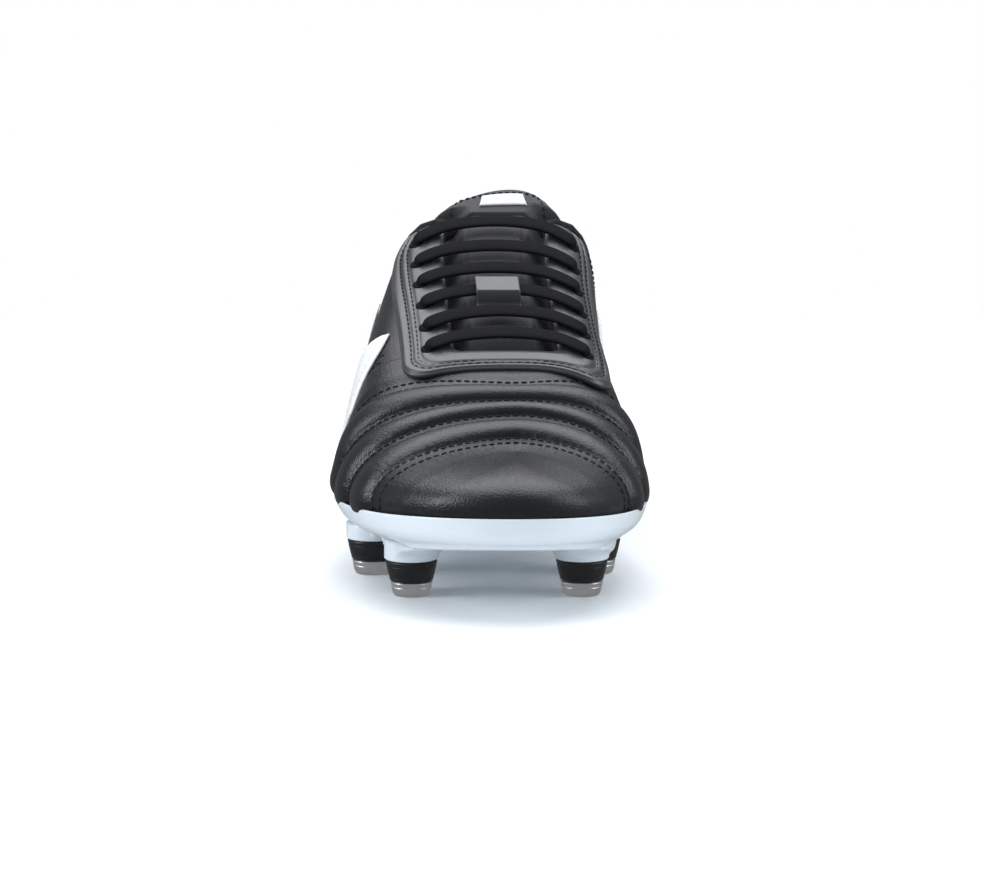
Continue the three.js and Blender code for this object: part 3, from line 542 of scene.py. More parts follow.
def new_group(
    name: str, inputs: Dict[str, Tuple[str, object]], outputs: Dict[str, str]
) -> Tuple[Tree, Dict, Dict]:
    """A node group with named inputs and outputs.

    Args:
        name: the group's name.
        inputs: each input's kind and first value.
        outputs: each output's kind.

    Returns:
        The tree, its input sockets and its output node's sockets, both by name.
    """
    group = bpy.data.node_groups.new(name, "ShaderNodeTree")
    for key, (kind, value) in inputs.items():
        socket = group.interface.new_socket(key, in_out="INPUT", socket_type="NodeSocket" + kind)
        if value is not None:
            socket.default_value = value
    for key, kind in outputs.items():
        group.interface.new_socket(key, in_out="OUTPUT", socket_type="NodeSocket" + kind)
    start = group.nodes.new("NodeGroupInput")
    end = group.nodes.new("NodeGroupOutput")
    return Tree(group), dict(start.outputs.items()), dict(end.inputs.items())


def grain_group() -> bpy.types.NodeTree:
    """Leather grain: pebbles between fine creases, and soft patches of wear."""
    tree, given, ends = new_group(
        "leather_grain",
        {"Scale": ("Float", 900.0), "Creases": ("Float", 0.4)},
        {"Height": "Float", "Patches": "Float"},
    )
    place = tree.add("TexCoord").outputs["Object"]
    cells = tree.add("TexVoronoi", {"Vector": place, "Scale": given["Scale"]}, feature="DISTANCE_TO_EDGE")
    pebble = tree.ramp(cells.outputs["Distance"], 0.0, 0.22)
    finer = tree.math("MULTIPLY", given["Scale"], 2.2)
    fine = tree.add("TexNoise", {"Vector": place, "Scale": finer, "Detail": 3.0})
    fold = tree.add("TexNoise", {"Vector": place, "Scale": 95.0, "Detail": 4.0, "Distortion": 0.8})
    coarse_part = tree.math("MULTIPLY", pebble, 0.7)
    height = tree.math("ADD", coarse_part, tree.math("MULTIPLY", fine.outputs["Fac"], 0.3))
    crease = tree.math("MULTIPLY", fold.outputs["Fac"], given["Creases"])
    patch = tree.add("TexNoise", {"Vector": place, "Scale": 22.0, "Detail": 3.0})
    tree.link(tree.math("ADD", height, crease), ends["Height"])
    tree.link(tree.ramp(patch.outputs["Fac"], 0.35, 0.7), ends["Patches"])
    return tree.tree


def weave_group() -> bpy.types.NodeTree:
    """A plain weave over a piece's own cloth sizes, with uneven yarns."""
    tree, given, ends = new_group(
        "weave", {"Pitch": ("Float", 0.8)}, {"Height": "Float", "Shade": "Float"}
    )
    cloth = tree.add("Attribute", attribute_name="cloth").outputs["Vector"]
    parts = tree.add("SeparateXYZ", {0: cloth})
    turn = tree.math("DIVIDE", 2 * math.pi, given["Pitch"])
    a = tree.math("SINE", tree.math("MULTIPLY", parts.outputs[0], turn))
    b = tree.math("SINE", tree.math("MULTIPLY", parts.outputs[1], turn))
    over = tree.ramp(tree.math("MULTIPLY", a, b), -1.0, 1.0)
    uneven = tree.add("TexNoise", {"Vector": cloth, "Scale": 0.9, "Detail": 3.0}).outputs["Fac"]
    height = tree.math("ADD", tree.math("MULTIPLY", over, 0.75), tree.math("MULTIPLY", uneven, 0.35))
    tree.link(height, ends["Height"])
    tree.link(tree.ramp(height, 0.1, 1.0), ends["Shade"])
    return tree.tree


def scuff_group() -> bpy.types.NodeTree:
    """Fine scratches and faint dirt for moulded and machined pieces."""
    outputs = {"Scratches": "Float", "Dirt": "Float"}
    tree, given, ends = new_group("scuffs", {"Scale": ("Float", 120.0)}, outputs)
    place = tree.add("TexCoord").outputs["Object"]
    stretched = tree.add("Mapping", {"Vector": place, "Scale": (1.0, 1.0, 7.0)}).outputs[0]
    values = {"Vector": stretched, "Scale": given["Scale"], "Detail": 6.0, "Roughness": 0.7}
    lines = tree.add("TexNoise", values)
    dirt = tree.add("TexNoise", {"Vector": place, "Scale": 30.0, "Detail": 5.0})
    tree.link(tree.ramp(lines.outputs["Fac"], 0.52, 0.72), ends["Scratches"])
    tree.link(tree.ramp(dirt.outputs["Fac"], 0.5, 0.8), ends["Dirt"])
    return tree.tree


GRAIN, WEAVE, SCUFFS = grain_group(), weave_group(), scuff_group()
Colour = Tuple[float, float, float]


def rgba(colour: Colour, share: float = 1.0) -> Tuple[float, float, float, float]:
    """A colour with full alpha, made lighter or darker by a share."""
    return (colour[0] * share, colour[1] * share, colour[2] * share, 1.0)


@dataclass(frozen=True)
class Finish:
    """What every finish has.

    Attributes:
        name: the material's name.
        colour: its base colour.
        rough: its roughness.
    """

    name: str
    colour: Colour
    rough: float

    def start(self) -> Tuple[bpy.types.Material, Tree, bpy.types.Node]:
        """A new material, its tree and its shader."""
        material = bpy.data.materials.new(self.name)
        material.use_nodes = True
        material.diffuse_color = rgba(self.colour)
        shader = material.node_tree.nodes["Principled BSDF"]
        shader.inputs["Roughness"].default_value = self.rough
        return material, Tree(material.node_tree), shader

    def group(self, tree: Tree, group: bpy.types.NodeTree, **inputs: float) -> bpy.types.Node:
        """Places a shared group in the material."""
        node = tree.add("Group", node_tree=group)
        for key, value in inputs.items():
            node.inputs[key].default_value = value
        return node

    def bump(self, tree: Tree, shader: bpy.types.Node, height, strength: float, distance: float) -> None:
        """Gives the shader a bump of a height in metres."""
        keys = {"Strength": strength, "Distance": distance, "Height": height}
        tree.link(tree.add("Bump", keys).outputs["Normal"], shader.inputs["Normal"])


@dataclass(frozen=True)
class Leather(Finish):
    """Grained, finished leather.

    Attributes:
        scale: pebbles in a metre.
        depth: the grain's depth in millimetres.
        creases: how strong the long soft creases are.
        coat: the polished top layer.
        shine: how strongly the leather itself reflects.
    """

    scale: float = 900.0
    depth: float = 0.16
    creases: float = 0.5
    coat: float = 0.0
    shine: float = 0.3

    def build(self) -> bpy.types.Material:
        """Makes the material."""
        material, tree, shader = self.start()
        grain = self.group(tree, GRAIN, Scale=self.scale, Creases=self.creases)
        shade = tree.math("MULTIPLY", tree.ramp(grain.outputs["Height"], 0.2, 1.0), 0.6)
        base = tree.blend(shade, rgba(self.colour, 0.72), rgba(self.colour, 1.25))
        worn = tree.blend(tree.math("MULTIPLY", grain.outputs["Patches"], 0.2), base, rgba(self.colour, 1.7))
        tree.link(worn, shader.inputs["Base Color"])
        rough = tree.ramp(grain.outputs["Patches"], 0.0, 1.0, self.rough - 0.05, self.rough + 0.07)
        tree.link(rough, shader.inputs["Roughness"])
        shader.inputs["Coat Weight"].default_value = self.coat
        shader.inputs["Coat Roughness"].default_value = 0.32
        shader.inputs["Specular IOR Level"].default_value = self.shine
        self.bump(tree, shader, grain.outputs["Height"], 0.55, self.depth * MM)
        return material


@dataclass(frozen=True)
class Woven(Finish):
    """Woven or knitted cloth, yarn by yarn.

    Attributes:
        pitch: two yarns, in millimetres.
        depth: the weave's depth in millimetres.
        fuzz: the soft sheen of its fibres.
    """

    pitch: float = 0.9
    depth: float = 0.25
    fuzz: float = 0.05

    def build(self) -> bpy.types.Material:
        """Makes the material."""
        material, tree, shader = self.start()
        weave = self.group(tree, WEAVE, Pitch=self.pitch)
        colour = tree.blend(weave.outputs["Shade"], rgba(self.colour, 0.45), rgba(self.colour, 1.35))
        tree.link(colour, shader.inputs["Base Color"])
        tree.link(
            tree.ramp(weave.outputs["Shade"], 0.0, 1.0, self.rough + 0.08, self.rough - 0.06),
            shader.inputs["Roughness"],
        )
        shader.inputs["Sheen Weight"].default_value = self.fuzz
        shader.inputs["Sheen Roughness"].default_value = 0.5
        shader.inputs["Specular IOR Level"].default_value = 0.1
        self.bump(tree, shader, weave.outputs["Height"], 0.7, self.depth * MM)
        return material


@dataclass(frozen=True)
class Moulded(Finish):
    """Moulded plastic with a fine surface and light scuffs.

    Attributes:
        soft: light that scatters inside it, as in white soles.
        grain: pits in a metre.
        dirt: how much faint dirt shows.
        coat: the gloss of its skin.
    """

    soft: float = 0.0
    grain: float = 2600.0
    dirt: float = 0.12
    coat: float = 0.0

    def build(self) -> bpy.types.Material:
        """Makes the material."""
        material, tree, shader = self.start()
        scuffs = self.group(tree, SCUFFS, Scale=160.0)
        marked = tree.math("MULTIPLY", scuffs.outputs["Dirt"], self.dirt)
        base = tree.blend(marked, rgba(self.colour), rgba(self.colour, 0.72))
        tree.link(base, shader.inputs["Base Color"])
        rough = tree.ramp(scuffs.outputs["Scratches"], 0.0, 1.0, self.rough, min(self.rough + 0.22, 1.0))
        tree.link(rough, shader.inputs["Roughness"])
        shader.inputs["Subsurface Weight"].default_value = self.soft
        shader.inputs["Subsurface Radius"].default_value = (0.004, 0.004, 0.004)
        shader.inputs["Coat Weight"].default_value = self.coat
        shader.inputs["Coat Roughness"].default_value = 0.15
        place = tree.add("TexCoord").outputs["Object"]
        pits = tree.add("TexNoise", {"Vector": place, "Scale": self.grain, "Detail": 2.0}).outputs["Fac"]
        height = tree.math("SUBTRACT", pits, tree.math("MULTIPLY", scuffs.outputs["Scratches"], 0.6))
        self.bump(tree, shader, height, 0.3, 0.05 * MM)
        return material


@dataclass(frozen=True)
class Machined(Finish):
    """Turned or plated metal with tool rings and scratches.

    Attributes:
        rings: how closely the tool's rings lie.
    """

    rings: float = 2600.0

    def build(self) -> bpy.types.Material:
        """Makes the material."""
        material, tree, shader = self.start()
        scuffs = self.group(tree, SCUFFS, Scale=420.0)
        base = tree.blend(scuffs.outputs["Dirt"], rgba(self.colour), rgba(self.colour, 0.6))
        tree.link(base, shader.inputs["Base Color"])
        shader.inputs["Metallic"].default_value = 1.0
        rough = tree.ramp(scuffs.outputs["Scratches"], 0.0, 1.0, self.rough, self.rough + 0.25)
        tree.link(rough, shader.inputs["Roughness"])
        place = tree.add("TexCoord").outputs["Object"]
        values = {"Vector": place, "Scale": self.rings, "Distortion": 0.6}
        turned = tree.add("TexWave", values, bands_direction="Z")
        self.bump(tree, shader, turned.outputs["Fac"], 0.25, 0.03 * MM)
        return material


class Wardrobe:
    """Every finish of the boot, each built once."""

    def __init__(self) -> None:
        """Builds the materials."""
        self.upper = Leather("upper_leather", (0.0060, 0.0076, 0.0104), 0.33, depth=0.12, shine=0.5).build()
        # The overlay's base colour is lighter than the upper's: partly the overlay's own dark grey, partly
        # painted sheen that stands in for the windows' reflection on its satin finish.
        self.overlay = Leather("overlay_leather", (0.036, 0.039, 0.044), 0.32, scale=1300.0, depth=0.07,
                               creases=0.2, coat=0.25, shine=0.5).build()
        self.tongue = Leather("tongue_leather", (0.050, 0.053, 0.058), 0.55, scale=1000.0, depth=0.14,
                              creases=0.5).build()
        self.band = Leather("band_white", (0.83, 0.85, 0.87), 0.36, scale=1100.0, depth=0.06,
                            creases=0.15, coat=0.1).build()
        self.lining = Woven("lining_cloth", (0.016, 0.017, 0.019), 0.85, pitch=1.3, depth=0.25).build()
        self.sockliner = Woven("sockliner_knit", (0.020, 0.021, 0.023), 0.9, pitch=1.8, depth=0.3).build()
        self.label = Woven("label_satin", (0.80, 0.82, 0.84), 0.55, pitch=0.7, depth=0.08).build()
        self.lace = Woven("lace_weave", (0.0055, 0.006, 0.007), 0.75, pitch=0.95, depth=0.28,
                          fuzz=0.0).build()
        self.thread = Woven("thread", (0.020, 0.022, 0.025), 0.5, pitch=0.5, depth=0.05).build()
        self.white_thread = Woven("white_thread", (0.78, 0.80, 0.82), 0.5, pitch=0.5, depth=0.05).build()
        self.board = Woven("fibre_board", (0.42, 0.36, 0.27), 0.9, pitch=2.1, depth=0.1).build()
        self.sole = Moulded("outsole_white", (0.66, 0.73, 0.79), 0.3, soft=0.1, dirt=0.06, coat=0.35).build()
        self.nylon = Moulded("stud_nylon", (0.010, 0.0105, 0.012), 0.36, grain=1800.0, dirt=0.3).build()
        self.tip = Moulded("lace_tip", (0.012, 0.0125, 0.014), 0.25, coat=0.5).build()
        self.alloy = Machined("stud_tip_metal", (0.86, 0.88, 0.90), 0.4).build()
        self.steel = Machined("stud_steel", (0.50, 0.52, 0.54), 0.32).build()


# ------------------------------------------------------------------ the upper
@dataclass
class Vamp:
    """The quilted front of the upper, with its four stitched seams.

    Attributes:
        feet: stations of the rows at the foot's edge, from the first seam back.
        crests: stations of the same rows at the crest.
        cap_rows: rows between the toe tip and the first seam.
        quilt: how high the padded ribs stand.
        channel: half of each flat stitched channel, as a share of a rib.
        sink: how far the leather is drawn in at the stitches.
        seam: half of the distance between a seam's two rows of stitches, as a share of a row.
        tab: how far the back edge runs up under the eyestay at the crest.
        soften: how much the rows round off over the crest.
        gathers: the height of the puckers beside each seam.
    """

    feet: Tuple[float, ...] = (29, 41, 54, 67, 80, 92, 105, 109, 113)
    crests: Tuple[float, ...] = (28.5, 36, 44, 49, 54.5, 60, 66, 73, 80)
    cap_rows: int = 6
    quilt: float = 2.6
    channel: float = 0.24
    sink: float = 0.35
    seam: float = 0.2
    tab: float = 6.5
    soften: float = 0.12
    gathers: float = 0.06
    cap_reach: float = field(init=False)

    def __post_init__(self) -> None:
        """Measures how far the toe's own surface runs before the crest begins."""
        p = LAST.point(1.0, 0.0, np.linspace(0, 1, 21))
        self.cap_reach = float(np.linalg.norm(np.diff(p, axis=0), axis=1).sum())

    @property
    def rows(self) -> int:
        """Rows from the toe tip to the back edge."""
        return self.cap_rows + len(self.feet) - 1

    def puff(self, r: Array) -> Array:
        """The padding's height at row r: pillows between the stitched channels."""
        x = (r - self.cap_rows) / 2
        middle = np.abs((x % 1) - 0.5) * 2
        body = np.clip((1 - middle - self.channel) / (1 - self.channel), 0, 1)
        pillow = self.quilt * (1 - (1 - body) ** 2.4) ** 0.75 - self.sink
        cap = 1.2 * np.clip((0.86 - r / self.cap_rows) / 0.5, 0, 1) ** 0.5 - self.sink
        cap = np.where(r < self.cap_rows * 0.14, cap * ease(r / self.cap_rows / 0.14), cap)
        last = 0.7 * ease((x - 3.12) / 0.3) - self.sink
        return np.where(x < 0, cap, np.where(x > 3, last, pillow))

    def gather(self, r: Array, p: Array) -> Array:
        """Small puckers where each seam pulls the leather in, strongest beside its stitches."""
        x = (r - self.cap_rows) / 2
        near = np.abs((x + 0.5) % 1 - 0.5) * 2
        pucker = np.sin(p * 131 + 2.3 * np.sin(p * 23 + x)) + 0.6 * np.sin(p * 217 + 5 * x)
        strength = np.exp(-(((near - 0.33) / 0.2) ** 2))
        return self.gathers * pucker * strength * ((x > -0.6) & (x < 3.3))

    def place(self, r: Array, p: Array, above: Array, puffed: bool = True) -> Array:
        """Points of the vamp at row r, and p from -1 at the lateral foot to 1 at the medial one."""
        side = np.where(p < 0, -1.0, 1.0)
        q = 1 - np.abs(p)
        x = np.maximum(r - self.cap_rows, 0)
        every = np.arange(len(self.feet))
        foot, crest = np.interp(x, every, self.feet), np.interp(x, every, self.crests)
        share = np.clip(r / self.cap_rows, 0, 1)
        run = share * (self.cap_reach + LAST.crest_at(self.crests[0]) - LAST.crest_at(0))
        stations = np.linspace(0, 140, 400)
        capped = np.interp(LAST.crest_at(0) + run - self.cap_reach, LAST.crest_at(stations), stations)
        in_cap = r < self.cap_rows
        crest = np.where(in_cap, np.where(run > self.cap_reach, capped, 0), crest)
        foot = np.where(in_cap, foot * share**2, foot)
        top = np.where(in_cap, np.minimum(run / self.cap_reach, 1), 1.0)
        tab = self.tab * ease((q - 0.86) / 0.14) * np.clip(x - (len(self.feet) - 2), 0, 1)
        bend = np.sqrt(p * p + self.soften**2) - self.soften
        soft = 1 - bend / (math.hypot(1, self.soften) - self.soften)
        soft = mix(soft, q, ease((x - 6) / 2))
        t = mix(np.sqrt(foot), np.sqrt(crest), soft) ** 2 + tab
        h = top * q
        lift = (self.puff(r) + self.gather(r, p)) * ease((h - 0.12) / 0.12) if puffed else 0
        tip = r < 1e-6
        side, t, h = np.where(tip, 1.0, side), np.where(tip, 0, t), np.where(tip, 0, h)
        return LAST.lay(side, t, h, above + lift)

    def stitches(self) -> List[Array]:
        """Paths of the eight rows of stitches."""
        p = np.linspace(-0.88, 0.88, 160)
        made = []
        for seam in range(4):
            for offset in (-self.seam, self.seam):
                r = np.full(p.shape, self.cap_rows + 2.0 * seam + offset)
                made.append(self.place(r, p, np.full(p.shape, LAST.shell_out + 0.12)))
        return made

    def build(self, looks: Wardrobe) -> None:
        """Makes the shell, its lining and its stitches."""

        def shell(u: Array, v: Array, w: Array) -> Array:
            r = v * self.rows
            puffed = self.place(r, 2 * u - 1, np.full(u.shape, LAST.shell_out))
            inner = self.place(r, 2 * u - 1, np.full(u.shape, LAST.shell_in), puffed=False)
            return np.where(w[:, None] > 0.5, puffed, inner)

        def lining(u: Array, v: Array, w: Array) -> Array:
            return self.place(v * self.rows, 2 * u - 1, np.where(w > 0.5, 0.8, 0.0), puffed=False)

        body = Piece.BOOT.value
        done(slab(220, 190, shell, (190, 150)), "vamp_quilted", looks.upper, body, ["vamp"])
        done(slab(60, 40, lining, (190, 150)), "vamp_lining_cloth", looks.lining, body,
             ["vamp_lining"])
        done(Stitching().sew(self.stitches()), "vamp_stitches", looks.thread, body)


@dataclass
class Quarters:
    """The two sides of the upper, their linings, bands, collar and heel pieces.

    Attributes:
        vamp_foot: the station of the front edge at the foot.
        vamp_crest: where that edge would meet the crest.
        facing_end: the station where the lacing ends.
        throat_half: half of the gap between the two sides under the lacing.
        seam_gap: the gap between a side and the vamp.
        collar_roll: the thickness of the collar's binding.
        band_in: the underside of the bands above the form.
        band_out: their outside above the form.
        tops: each side's stations and the rises of its top edge there.
        bands: each band's lower end, upper end and width.
    """

    vamp_foot: float = 113.0
    vamp_crest: float = 80.0
    facing_end: float = 161.0
    throat_half: float = 17.6
    seam_gap: float = 0.1
    collar_roll: float = 1.7
    band_in: float = 3.7
    band_out: float = 4.85
    tops: Dict[int, Tuple[Array, Array]] = field(init=False)
    bands: Dict[Side, Dict] = field(init=False)

    def __post_init__(self) -> None:
        """Lists the bands and tables each side's top edge by station."""
        self.bands = {
            Side.LATERAL: {"wide": ((98, 44), (116, 66.8), 21), "narrow": ((132, 46), (144, 80), 8)},
            Side.MEDIAL: {"wide": ((136, 40), (178, 74), 11), "narrow": ((153, 40), (193, 71), 6)},
        }
        t = np.linspace(60, LAST.length, 300)
        self.tops = {}
        for side in Side:
            signs = np.full(t.shape, float(side.value))
            throat = self.throat_half + side.value * LAST.lacing_side + 0.4
            over = LAST.h_at_span(signs, np.minimum(t, self.facing_end + 8), np.full(t.shape, throat))
            top = np.minimum(over, LAST.h_at_height(signs, t, LAST.collar(t)))
            soft = np.hanning(13) / np.hanning(13).sum()
            self.tops[side.value] = (t, np.convolve(np.pad(top, 6, mode="edge"), soft, mode="valid"))

    def top(self, side: int, t: Array) -> Array:
        """The rise of a side's top edge at each station."""
        return np.interp(t, *self.tops[side])

    def place(self, side: int, u: Array, v: Array, above: Array) -> Array:
        """Points of a side at u from its front edge to the heel seam and v from foot to top."""
        left = (1 - u) * (1 - u**3)
        h = v * 0.9
        t = np.zeros(u.shape)
        for _ in range(6):
            front = mix(math.sqrt(self.vamp_foot), math.sqrt(self.vamp_crest), h) ** 2
            t = LAST.length - (LAST.length - front - self.seam_gap) * left
            h = v * self.top(side, t)
        p = LAST.lay(np.full(u.shape, float(side)), t, h, above)
        seam = ORIGIN_SHIFT[0] * MM
        p[:, 0] = seam + side * np.maximum(side * (p[:, 0] - seam), 0.2 * MM)
        return p

    def shell(self, side: Side, looks: Wardrobe) -> None:
        """One side's leather, a little thinner along its edges and fuller under the collar."""

        def place(u: Array, v: Array, w: Array) -> Array:
            edge = np.minimum(np.minimum(v, 1 - v) * 90, 1.2 + u * 150)
            drop = 0.55 * (1 - ease(edge / 1.2))
            full = 1.3 * ease((u - 0.3) / 0.3) * np.exp(-(((v - 0.86) / 0.09) ** 2))
            outside = LAST.shell_out - drop + full
            return self.place(side.value, u, v, np.where(w > 0.5, outside, LAST.shell_in))

        name = side.word
        done(slab(150, 90, place, (180, 90), (0.5, 0.6)), f"{name}_quarter_leather", looks.upper,
             Piece.BOOT.value, [f"{name}_quarter"])

        self.seams(side, looks)

        def lining(u: Array, v: Array, w: Array) -> Array:
            return self.place(side.value, u, v, np.where(w > 0.5, LAST.lining_out, 0.0))

        done(slab(70, 40, lining, (180, 90)), f"{name}_lining_cloth", looks.lining,
             Piece.BOOT.value, [f"{name}_lining"])

    def seams(self, side: Side, looks: Wardrobe) -> None:
        """Rows of stitches along one side's collar and its front edge."""
        rows = []
        for inset in (0.05, 0.075):
            u = np.linspace(0.32, 0.985, 160)
            full = 1.3 * np.exp(-(((0.86 - (1 - inset)) / 0.09) ** 2))
            above = np.full(u.shape, LAST.shell_out + full - 0.25)
            rows.append(self.place(side.value, u, np.full(u.shape, 1 - inset), above))
        for along in (0.014, 0.030):
            v = np.linspace(0.16, 0.8, 60)
            above = np.full(v.shape, LAST.shell_out + 0.1)
            rows.append(self.place(side.value, np.full(v.shape, along), v, above))
        done(Stitching().sew(rows), f"{side.word}_quarter_stitches", looks.thread,
             Piece.BOOT.value)

    def band(self, side: Side, kind: str, start: Tuple[float, float], end: Tuple[float, float], wide: float,
             looks: Wardrobe) -> None:
        """One of a side's two plain bands, with a stitched edge.

        Args:
            side: the side that it lies on.
            kind: wide or narrow.
            start: station and height of its lower end.
            end: station and height of its upper end.
            wide: its width.
            looks: the finishes.
        """

        def on_side(u: Array, v: Array, above: Array) -> Array:
            t = mix(start[0], end[0], u) + (v - 0.5) * wide
            z = mix(start[1], end[1], u) + 3 * np.sin(np.pi * u) - (v - 0.5) * wide * 0.75
            signs = np.full(t.shape, float(side.value))
            return LAST.lay(signs, t, LAST.h_at_height(signs, t, z), above)

        def place(u: Array, v: Array, w: Array) -> Array:
            edge = np.minimum(np.minimum(v, 1 - v) * wide, np.minimum(u, 1 - u) * 50)
            outside = self.band_out - 0.5 * (1 - ease(edge / 0.9))
            return on_side(u, v, np.where(w > 0.5, outside, self.band_in))

        node = f"{side.word}_band_{kind}"
        done(slab(60, 30, place, (50, wide), (0, 0.5)), f"{node}_leather", looks.band,
             Piece.BOOT.value, [node])
        u = np.linspace(0.03, 0.97, 60)
        above = np.full(u.shape, 4.92)
        rows = [on_side(u, np.full(u.shape, v), above) for v in (1.3 / wide, 1 - 1.3 / wide)]
        done(Stitching(radius=0.26).sew(rows), f"{node}_stitches", looks.white_thread,
             Piece.BOOT.value)

    def collar(self, looks: Wardrobe) -> None:
        """The padded ring inside the collar and the rolled binding along its edge."""

        def pad(u: Array, v: Array, w: Array) -> Array:
            across = 2 * u - 1
            left = np.abs(across)
            t = LAST.length - 74 * left**1.8
            side = np.where(across < 0, -1.0, 1.0)
            top = np.where(across < 0, self.top(-1, t), self.top(1, t))
            crown = (np.sin(np.pi * np.clip(v, 0, 1)) ** 0.6) * (0.35 + 0.65 * np.clip(4 * (1 - left), 0, 1))
            seams = 0.8 * np.exp(-(((left - 0.42) / 0.02) ** 2))
            depth = -0.3 - 5.2 * np.maximum(crown * (1 - 0.35 * seams), 0.03)
            return LAST.lay(side, t, top - mix(0.115, 0.004, v), np.where(w > 0.5, -0.3, depth))

        ring = done(slab(160, 24, pad, (200, 22)), "collar_pad", looks.lining, Piece.BOOT.value,
                    ["collar_padding"])
        edge = []
        for side in (-1, 1):
            u = np.linspace(0.29, 1.0, 100)
            v = np.ones(u.shape)
            p = self.place(side, u, v, np.full(u.shape, 2.6))
            edge.append(p if side < 0 else p[::-1])
        path = np.concatenate([edge[0][:-1], edge[1][1:]])
        path[:, 2] += 0.3 * MM
        share = np.linspace(0, 1, len(path))
        size = self.collar_roll * MM * mix(0.35, 1.0, ease(np.minimum(share, 1 - share) / 0.05))
        up = np.tile([0.0, 0.0, 1.0], (len(path), 1))
        done(tube(path, up, size * 1.1, size, 12), "collar_binding", looks.lining, Piece.BOOT.value)

    def heel(self, looks: Wardrobe) -> None:
        """The counter round the heel, its stitches, and the strip over the seam above it."""
        bites = SOLE.bites

        def on_heel(u: Array, v: Array, above: Array) -> Array:
            across = 2 * u - 1
            left = np.abs(across)
            t = LAST.length - 58 * left**1.9
            side = np.where(across < 0, -1.0, 1.0)
            low = np.where(across < 0, bites(-1, t), bites(1, t)) + 0.012
            high = mix(self.top(1, np.array([LAST.length]))[0] - 0.12, low + 0.18, ease(left) * 0.9)
            return LAST.lay(side, t, mix(low, high, v), above)

        def place(u: Array, v: Array, w: Array) -> Array:
            edge = np.minimum(np.minimum(v, 1 - v) * 42, np.minimum(u, 1 - u) * 130)
            outside = LAST.overlay_out - 0.7 * (1 - ease(edge / 1.5))
            return on_heel(u, v, np.where(w > 0.5, outside, LAST.shell_in + 1))

        done(slab(130, 36, place, (130, 42), (0.3, 0.5)), "heel_counter_leather", looks.overlay,
             Piece.BOOT.value, ["heel_counter"])
        u = np.linspace(0.02, 0.98, 160)
        above = np.full(u.shape, LAST.overlay_out + 0.08)
        rows = [on_heel(u, np.full(u.shape, v), above) for v in (0.93, 0.87)]
        done(Stitching().sew(rows), "heel_counter_stitches", looks.thread,
             Piece.BOOT.value)

        def strip(u: Array, v: Array, w: Array) -> Array:
            across = (2 * u - 1) * mix(9.0, 6.5, v)
            t = LAST.length - (np.abs(across) / 16.5) ** 2.1 * 12
            side = np.where(across < 0, -1.0, 1.0)
            top = self.top(1, np.array([LAST.length]))[0]
            h = mix(top - 0.14, top - 0.006, v)
            edge = np.minimum(u, 1 - u) * 16
            outside = LAST.overlay_out - 0.5 * (1 - ease(edge / 1.4))
            return LAST.lay(side, t, h, np.where(w > 0.5, outside, 3.2))

        done(slab(30, 30, strip, (16, 28), (0.4, 0)), "heel_seam_strip", looks.overlay,
             Piece.BOOT.value)

    def build(self, looks: Wardrobe) -> None:
        """Makes both sides, the bands, the collar and the heel."""
        for side in Side:
            self.shell(side, looks)
            for kind, sizes in self.bands[side].items():
                self.band(side, kind, *sizes, looks)
        self.collar(looks)
        self.heel(looks)


